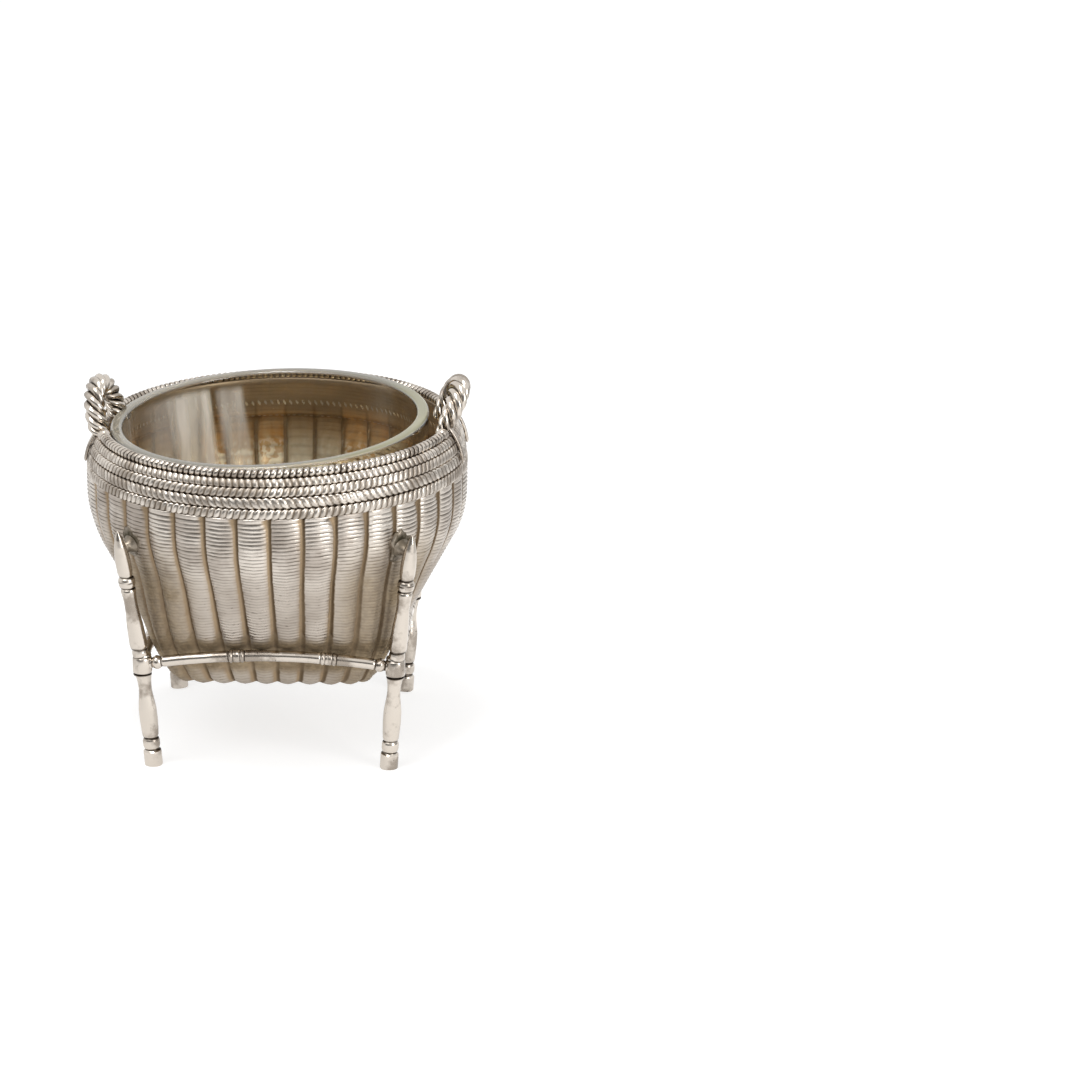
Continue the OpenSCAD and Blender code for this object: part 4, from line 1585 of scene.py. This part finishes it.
    def leg(self) -> bpy.types.Object:
        """Builds one leg in the plane y = 0: foot part, joint and upper part with its finial.

        Returns:
            The joined leg.
        """
        joint = self.joint_xy * math.sqrt(2)
        foot = (self.joint_xy - self.foot_inset) * math.sqrt(2)
        tip_z = self.form.belly_centre[1] - self.tip_drop
        tip = self.form.crest_r(tip_z) + self.tip_stand_off
        lower_lean = math.degrees(math.atan((joint - foot) / self.joint_z))
        upper_lean = math.degrees(math.atan((tip - joint) / (tip_z - self.joint_z)))
        lower_length = math.hypot(joint - foot, self.joint_z)
        upper_length = math.hypot(tip - joint, tip_z - self.joint_z)
        lower = spun("leg_lower", self.outline(self.lower_shares, lower_length), self.turned_steps)
        moved(lower, shift(foot, 0, 0) @ turn(lower_lean, "Y"))
        upper = spun("leg_upper", self.outline(self.upper_shares, upper_length), self.turned_steps)
        moved(upper, shift(joint, 0, self.joint_z) @ turn(upper_lean, "Y"))
        radius = self.leg_r + self.block_swell
        below = [(radius * share, -self.joint_half + up) for share, up in self.joint_outline]
        block = spun("leg_joint", below + [(r, -z) for r, z in reversed(below)], self.turned_steps)
        moved(block, shift(joint, 0, self.joint_z))
        leg = joined("leg", [lower, upper, block])
        points = points_of(leg) / MM
        points[:, 2] = np.maximum(points[:, 2], 0.0)
        set_points(leg, points)
        store(leg, {"gap": self.hollows(points)})
        return leg

    def hollows(self, points: Array) -> Array:
        """Finds how deep each point of a leg lies in the cuts beside its rings.

        Args:
            points: The leg's points, in millimetres.

        Returns:
            0 on the open surface and up to 1 in a cut.
        """
        tip_z = self.form.belly_centre[1] - self.tip_drop
        above = points[:, 2] - self.joint_z
        total = np.zeros(len(points))
        for share, width in self.lower_cuts:
            total += swelling(points[:, 2] / self.joint_z - share, width)
        for share, width in self.upper_cuts:
            total += swelling(above / (tip_z - self.joint_z) - share, width)
        end_gap, width = self.joint_cuts
        for level in (-self.joint_half + end_gap, self.joint_half - end_gap):
            total += swelling(above - level, width)
        return np.clip(total, 0, 1)

    def stretcher(self, name: str, rise: float) -> bpy.types.Object:
        """Builds a stretcher in the front's place: an arched bar that thins between its nodes.

        Args:
            name: The piece's name.
            rise: Rise of its arch.

        Returns:
            The closed stretcher.
        """
        half = self.joint_xy - self.leg_r * 0.6
        bend = (self.joint_xy**2 + rise**2) / (2 * rise)
        sweep = 2 * math.asin(half / bend)
        lean = math.radians(self.form.flank_angle)
        nodes = np.array(self.node_shares) * 2 * self.joint_xy
        ends = np.array([-1.0, 1.0]) * (self.joint_xy - self.leg_r - 0.9)

        def surface(u: Array, v: Array) -> tuple[Array, dict[str, Array]]:
            angle = (u - 0.5) * sweep
            s = bend * angle
            around = v * FULL_TURN
            radius = np.full_like(s, self.stretcher_d / 2 * self.waist_share)
            hollow = np.zeros_like(s)
            for place in nodes:
                away = np.abs(s - place)
                from_ring = away - self.node_pitch / 2
                radius += self.stretcher_d / 2 * (1 - self.waist_share) * swelling(away, self.node_swell)
                # Two raised rings with a fine cut on each side, as at a bamboo's node
                radius += self.ring[0] * swelling(from_ring, self.ring[1])
                cut = swelling(from_ring - self.cut_outside, self.ring_cut[1])
                cut += self.inner_cut_share * swelling(from_ring + self.cut_inside, self.ring_cut[1])
                # Two punched marks in the middle of the barrel between the rings
                cut += self.mark[0] * swelling(away, self.mark[1]) * (0.5 + 0.5 * np.sin(2 * around))
                radius -= self.ring_cut[0] * cut
                hollow = np.maximum(hollow, cut)
            for place in ends:
                # Each end swells to a small ball that is bedded in the leg
                away = np.abs(s - place)
                cut = swelling(away - self.ball_cut_away, self.ball_cut[1])
                radius += self.ball[0] * swelling(away, self.ball[1]) - self.ball_cut[0] * cut
                hollow = np.maximum(hollow, cut)
            radius *= np.clip(np.minimum(u, 1 - u) / self.bar_end_share, 0, 1)
            out, side = radius * np.cos(around), radius * np.sin(around)
            h = (bend + out) * np.cos(angle) + rise - bend
            x = (bend + out) * np.sin(angle)
            y = -self.joint_xy - math.sin(lean) * h - math.cos(lean) * side
            z = self.joint_z + math.cos(lean) * h - math.sin(lean) * side
            return np.stack([x, y, z], axis=1), {"gap": np.clip(hollow, 0, 1)}

        return rolled(name, *self.bar_steps, surface)

    def peg(self) -> bpy.types.Object:
        """Builds one peg in the plane y = 0, with the solder that runs out round its foot.

        Returns:
            The joined peg.
        """
        form = self.form
        z = form.belly_centre[1] - self.peg_drop
        slope = math.degrees(math.asin(self.peg_drop / form.belly_arc))
        foot, neck = self.peg_foot_d / 2, self.peg_d / 2
        stud = spun("peg_stud", [(0, -0.3), (foot * 1.05, -0.3), (foot * 1.05, 0.0), (foot * 0.86, 0.22),
                                 (neck * 1.2, 0.55), (neck, 0.95), (neck, 2.75), (0, 2.75)], 28)
        moved(stud, shift(form.crest_r(z), 0, z) @ turn(90 + slope, "Y"))

        def surface(u: Array, v: Array) -> tuple[Array, dict[str, Array]]:
            around = u * FULL_TURN
            edge = 1 + sum(size * np.sin(waves * around + first) for waves, size, first in self.solder_waves)
            lower = v > 0.5
            share = np.where(lower, 2 * (1 - v), 2 * v)
            high = z + self.solder_lift + self.solder_high * share * edge * np.sin(around)
            angle = self.solder_wide * share * edge * np.cos(around) / form.belly_r
            under, over, thinning = self.solder_depths
            radius = np.array([form.crest_r(float(value)) for value in high])
            radius += np.where(lower, under, over - thinning * share**10)
            points = np.stack([radius * np.cos(angle), radius * np.sin(angle), high], axis=1)
            return points, {"gap": 1 - share}

        patch = rolled("peg_solder", 40, 16, surface)
        return joined("peg", [stud, patch])

    def build(self, silver: bpy.types.Material, solder: bpy.types.Material) -> None:
        """Builds the whole stand.

        Args:
            silver: Finish of legs and stretchers.
            solder: Finish of the pegs.
        """
        corners = {"front_left": 225, "front_right": 315, "back_left": 135, "back_right": 45}
        leg = self.leg()
        peg = self.peg()
        for corner, degrees in corners.items():
            around = turn(degrees, "Z")
            leg_copy = copied(leg, f"bamboo_leg_{corner}", around)
            finish_piece(leg_copy, Body.HOLDER, Slot.BRIGHT, silver, f"leg_{corner}")
            peg_copy = copied(peg, f"soldered_peg_{corner}", around)
            finish_piece(peg_copy, Body.HOLDER, Slot.SOLDER, solder, f"peg_{corner}")
        for spare in (leg, peg):
            bpy.data.objects.remove(spare, do_unlink=True)
        front = self.stretcher("bamboo_stretcher_front", self.front_rise)
        finish_piece(front, Body.HOLDER, Slot.BRIGHT, silver, "stretcher_front")
        for side, degrees in (("back", 180), ("left", 270), ("right", 90)):
            bar = moved(self.stretcher(f"bamboo_stretcher_{side}", self.other_rise), turn(degrees, "Z"))
            finish_piece(bar, Body.HOLDER, Slot.BRIGHT, silver, f"stretcher_{side}")


# Glass liner


@dataclass
class Liner:
    """The thick glass bowl that stands loose in the basket."""

    form: BowlForm
    rim_gap: float = 1.4
    wall: float = 2.2
    rise: float = 1.4
    tilt: float = 1.6
    side_tilt: float = -1.4
    tilt_z: float = 24.0
    tilt_lift: float = 0.55
    slid: tuple[float, float] = (-0.35, 0.0)
    shrink: float = 0.988
    arc_r: float = 12.0
    gap: float = 0.9
    groove_depth: float = 0.8
    round_r: float = 2.5
    seat: float = 0.1
    lip_round: float = 0.7
    # The clouded rim reaches this far down, and clears over this length
    rim_band: float = 0.55
    rim_clearing: float = 0.4
    # Steps of the section's corner, wall arc, lip and upright wall, and facets of the full turn
    corner_steps: int = 12
    wall_steps: int = 16
    lip_steps: int = 6
    upright_steps: int = 14
    facets: int = 160

    def outline(self) -> list[tuple[float, float]]:
        """Gives the bowl's section from its underside, over the lip, to its inner floor.

        Returns:
            Points of radius and height.
        """
        form = self.form
        n = form.normal
        radius = form.lip_r - form.lip_width - self.rim_gap
        top = form.rim_z + self.rise
        base = form.base_z + form.wall + self.seat
        corner = form.base_corner + self.round_r
        reach = form.flank_reach - form.wall - self.groove_depth - self.gap
        low = np.array([(reach - corner - n[1] * (base + corner)) / n[0], base + corner])
        high_r = radius - self.arc_r
        high = np.array([high_r, (n[0] * high_r - (reach - self.arc_r)) / -n[1]])

        def side(inset: float) -> list[tuple[float, float]]:
            return (arc(low, corner - inset, -90, -form.flank_angle, self.corner_steps)
                    + arc(high, self.arc_r - inset, -form.flank_angle, 0, self.wall_steps))

        lip_z = top - self.lip_round
        outer_lip = np.array([radius - self.lip_round, lip_z])
        inner_lip = np.array([radius - self.wall + self.lip_round, lip_z])
        lip = (arc(outer_lip, self.lip_round, 0, 90, self.lip_steps)
               + arc(inner_lip, self.lip_round, 90, 180, self.lip_steps))
        # Points on the upright part, so that values stored near the rim don't run down the wall
        steps = np.linspace(high[1], lip_z, self.upright_steps)[1:-1]
        outer = [(radius, float(z)) for z in steps]
        inner = [(radius - self.wall, float(z)) for z in reversed(steps)]
        return ([(0.0, base)] + side(0.0) + outer + lip + inner + side(self.wall)[::-1]
                + [(0.0, base + self.wall)])

    def build(self, finish: bpy.types.Material) -> None:
        """Builds the liner.

        Args:
            finish: Its finish.
        """
        bowl = spun("glass_bowl", self.outline(), self.facets)
        band_z = self.form.rim_z + self.rise - self.rim_band
        heights = points_of(bowl)[:, 2] / MM
        store(bowl, {"rim": np.clip((heights - band_z) / self.rim_clearing, 0, 1)})
        # The loose bowl stands askew in its basket: it leans to the front and the left, so its back stands
        # higher.
        HandSet().apply(bowl)
        narrowed = Matrix.Diagonal((self.shrink, self.shrink, 1.0, 1.0))
        moved(bowl, shift(*self.slid, self.tilt_z + self.tilt_lift) @ turn(self.side_tilt, "Y")
              @ turn(self.tilt, "X") @ shift(0, 0, -self.tilt_z) @ narrowed)
        finish_piece(bowl, Body.LINER, Slot.GLASS, finish, "glass_liner")


# Studio


@dataclass(frozen=True)
class Lamp:
    """A rectangular lamp: its place and size in metres, and its power in watts."""

    name: str
    place: tuple[float, float, float]
    size: tuple[float, float]
    watts: float

    def build(self, aim_z: float) -> None:
        """Adds the lamp, pointed at the cellar.

        Args:
            aim_z: Height of the cellar's middle, in millimetres.
        """
        data = bpy.data.lights.new(self.name, "AREA")
        data.shape = "RECTANGLE"
        data.size, data.size_y = self.size
        data.energy = self.watts
        lamp = bpy.data.objects.new(self.name, data)
        bpy.context.collection.objects.link(lamp)
        lamp.location = self.place
        away = Vector((0, 0, aim_z * MM)) - Vector(self.place)
        lamp.rotation_euler = away.to_track_quat("-Z", "Y").to_euler()


@dataclass
class Studio:
    """A white table under soft light, and the camera of the photograph."""

    lens_mm: float = 170.7
    sensor_mm: float = 36.0
    clip_m: tuple[float, float] = (0.01, 20.0)
    distance: float = 945.8
    elevation: float = 17.67
    aim_z: float = 35.0
    stand_x: float = -48.2
    yaw: float = -2.44
    shift_up: float = 7.5 / 1080
    lamps: tuple[Lamp, ...] = (
        Lamp("key", (-0.35, -0.45, 0.75), (0.5, 0.4), 1.6),
        Lamp("overhead", (-0.06, -0.12, 0.7), (0.2, 0.2), 2.0),
        Lamp("window", (0.6, -0.55, 0.32), (0.34, 0.6), 2.5))
    table_m: float = 6.0
    table_grey: float = 0.5
    # How brightly the table shows to the camera, beside the light that falls on it
    table_glow: float = 0.66
    # Where the table is darker in reflections: places where that starts and is full, in metres, and how
    # dark it is
    left_x: tuple[float, ...] = (0.06, -0.16, 0.0, 0.3)
    front_y: tuple[float, ...] = (-0.1, -0.5, 0.0, 0.5)
    front_x: tuple[float, ...] = (0.03, 0.2, 1.0, 0.0)
    right_x: tuple[float, ...] = (0.07, 0.18, 0.0, 0.45)
    right_y: tuple[float, ...] = (-0.14, -0.04)
    # The room as light, and where it is seen
    room_levels: tuple[float, float] = (0.6, 1.0)
    # Where the dark room behind the camera starts and is full, as parts of a direction, and how dark it is
    dark_y: tuple[float, ...] = (-0.15, -0.7)
    dark_z: tuple[float, ...] = (0.62, 0.38)
    dark_x: tuple[float, ...] = (0.2, 0.5, 1.0, 0.1)
    beside_x: tuple[float, ...] = (0.75, 0.95, 0.0, 0.7)
    darkness: float = 0.8

    def camera(self) -> None:
        """Places the camera: the photograph's view, turned and moved to have the cellar at the origin."""
        lift = math.radians(self.elevation)
        eye = Vector((0, -self.distance * math.cos(lift), self.aim_z + self.distance * math.sin(lift)))
        aim = Vector((0, 0, self.aim_z))
        stand = Vector((self.stand_x, 0, 0))
        back = Matrix.Rotation(math.radians(-self.yaw), 3, "Z")
        eye, aim = back @ (eye - stand) * MM, back @ (aim - stand) * MM
        data = bpy.data.cameras.new("camera")
        data.lens = self.lens_mm
        data.sensor_width = self.sensor_mm
        data.shift_y = self.shift_up
        data.clip_start, data.clip_end = self.clip_m
        camera = bpy.data.objects.new("camera", data)
        bpy.context.collection.objects.link(camera)
        camera.location = eye
        camera.rotation_euler = (aim - eye).to_track_quat("-Z", "Y").to_euler()
        bpy.context.scene.camera = camera

    def seen(self, tree: bpy.types.NodeTree) -> tuple[bpy.types.NodeSocket, bpy.types.NodeSocket]:
        """Tells the rays that show the studio from those that only carry light.

        Args:
            tree: The tree that gets the nodes.

        Returns:
            One for camera, mirror and glass rays, and one for mirror rays alone.
        """
        ray = add(tree, Kind.RAY).node.outputs
        seen = add(tree, Kind.LARGER, ray["Is Camera Ray"], ray["Is Glossy Ray"])
        return add(tree, Kind.LARGER, seen, ray["Is Transmission Ray"]), ray["Is Glossy Ray"]

    def floor(self) -> None:
        """Adds the table: white to the camera, but darkened where the cellar keeps light from it."""
        deselect()
        bpy.ops.mesh.primitive_plane_add(size=self.table_m, location=(0, 0, 0))
        table = bpy.context.object
        table.name = "table"
        material, tree = blank("white_table")
        seen, mirrored = self.seen(tree)
        matte = add(tree, Kind.MATTE, (self.table_grey, self.table_grey, self.table_grey, 1.0))
        # In reflections the table falls off on all sides but the front right, where the window is.
        place = add(tree, Kind.AXES, add(tree, Kind.PLACE)).node.outputs
        left = add(tree, Kind.RANGE, place["X"], *self.left_x)
        front = add(tree, Kind.TIMES, add(tree, Kind.RANGE, place["Y"], *self.front_y),
                    add(tree, Kind.RANGE, place["X"], *self.front_x))
        right = add(tree, Kind.TIMES, add(tree, Kind.RANGE, place["X"], *self.right_x),
                    add(tree, Kind.RANGE, place["Y"], *self.right_y))
        dim = add(tree, Kind.TIMES, add(tree, Kind.PLUS, add(tree, Kind.PLUS, left, front), right), mirrored)
        strength = add(tree, Kind.MINUS, add(tree, Kind.TIMES, seen, self.table_glow), dim)
        glow = add(tree, Kind.GLOW, WHITE, strength)
        add(tree, Kind.OUTPUT, add(tree, Kind.BOTH, matte, glow))
        table.data.materials.append(material)

    def world(self) -> None:
        """Makes the room: white where it is seen, reflected or looked through, and softer as light."""
        world = bpy.data.worlds.new("room")
        bpy.context.scene.world = world
        world.use_nodes = True
        tree = world.node_tree
        tree.nodes.clear()
        seen, mirrored = self.seen(tree)
        # The room behind the camera is darker than the sweep, up to about 30 degrees above the table.
        way = add(tree, Kind.AXES, add(tree, Kind.DIRECTION)).node.outputs
        ahead = add(tree, Kind.TIMES, add(tree, Kind.RANGE, way["Y"], *self.dark_y),
                    add(tree, Kind.RANGE, way["X"], *self.dark_x))
        beside = add(tree, Kind.RANGE, way["X"], *self.beside_x)
        low = add(tree, Kind.TIMES, add(tree, Kind.RANGE, way["Z"], *self.dark_z), self.darkness)
        room = add(tree, Kind.TIMES, add(tree, Kind.LARGER, ahead, beside), low)
        level = add(tree, Kind.MINUS, add(tree, Kind.RANGE, seen, 0.0, 1.0, *self.room_levels),
                    add(tree, Kind.TIMES, room, mirrored))
        add(tree, Kind.WORLD_OUTPUT, add(tree, Kind.ROOM, WHITE, level))

    def build(self) -> None:
        """Sets up the whole studio."""
        self.camera()
        self.floor()
        self.world()
        for lamp in self.lamps:
            lamp.build(self.aim_z)
        bpy.context.scene.view_settings.view_transform = "Standard"


def main() -> None:
    """Builds the studio and every sub-assembly in order."""
    logging.basicConfig(level=logging.INFO, format="%(message)s")
    Studio().build()
    woven = WovenSilverFinish().build()
    gilt = GiltFinish().build()
    roped = SilverFinish("roped_silver", "#ddd5cb", "#aea499", "#7c7062", by_strand=True,
                         patina_band=(0.3, 0.9))
    bright = SilverFinish("rubbed_silver", "#d2c9be", "#a1978c", "#3c3228", roughness=(0.13, 0.28), pits=0.85)
    solder = SilverFinish("grey_solder", "#91877a", "#786e60", "#514b3c", patina_band=(0.05, 0.55),
                          roughness=(0.4, 0.6), blotch_mm=2.0, tarnish_band=(0.44, 0.6))
    form = BowlForm()
    basket = Basket(form)
    basket.dress(basket.build(), woven, gilt)
    border = Border(form)
    border.build_rows(roped.build())
    silver = bright.build()
    border.build_rim(silver)
    Handle(form, "left", -1, height=7.8, out=-0.1, lean=15.0, taper_mm=2.6, turn_out=9.5).build(silver)
    Handle(form, "right", 1, height=8.1, out=-1.0, lean=27.0, taper_mm=7.0, turn_out=6.0).build(silver)
    Stand(form).build(silver, solder.build())
    Liner(form).build(GlassFinish().build())


if __name__ == "__main__":
    main()
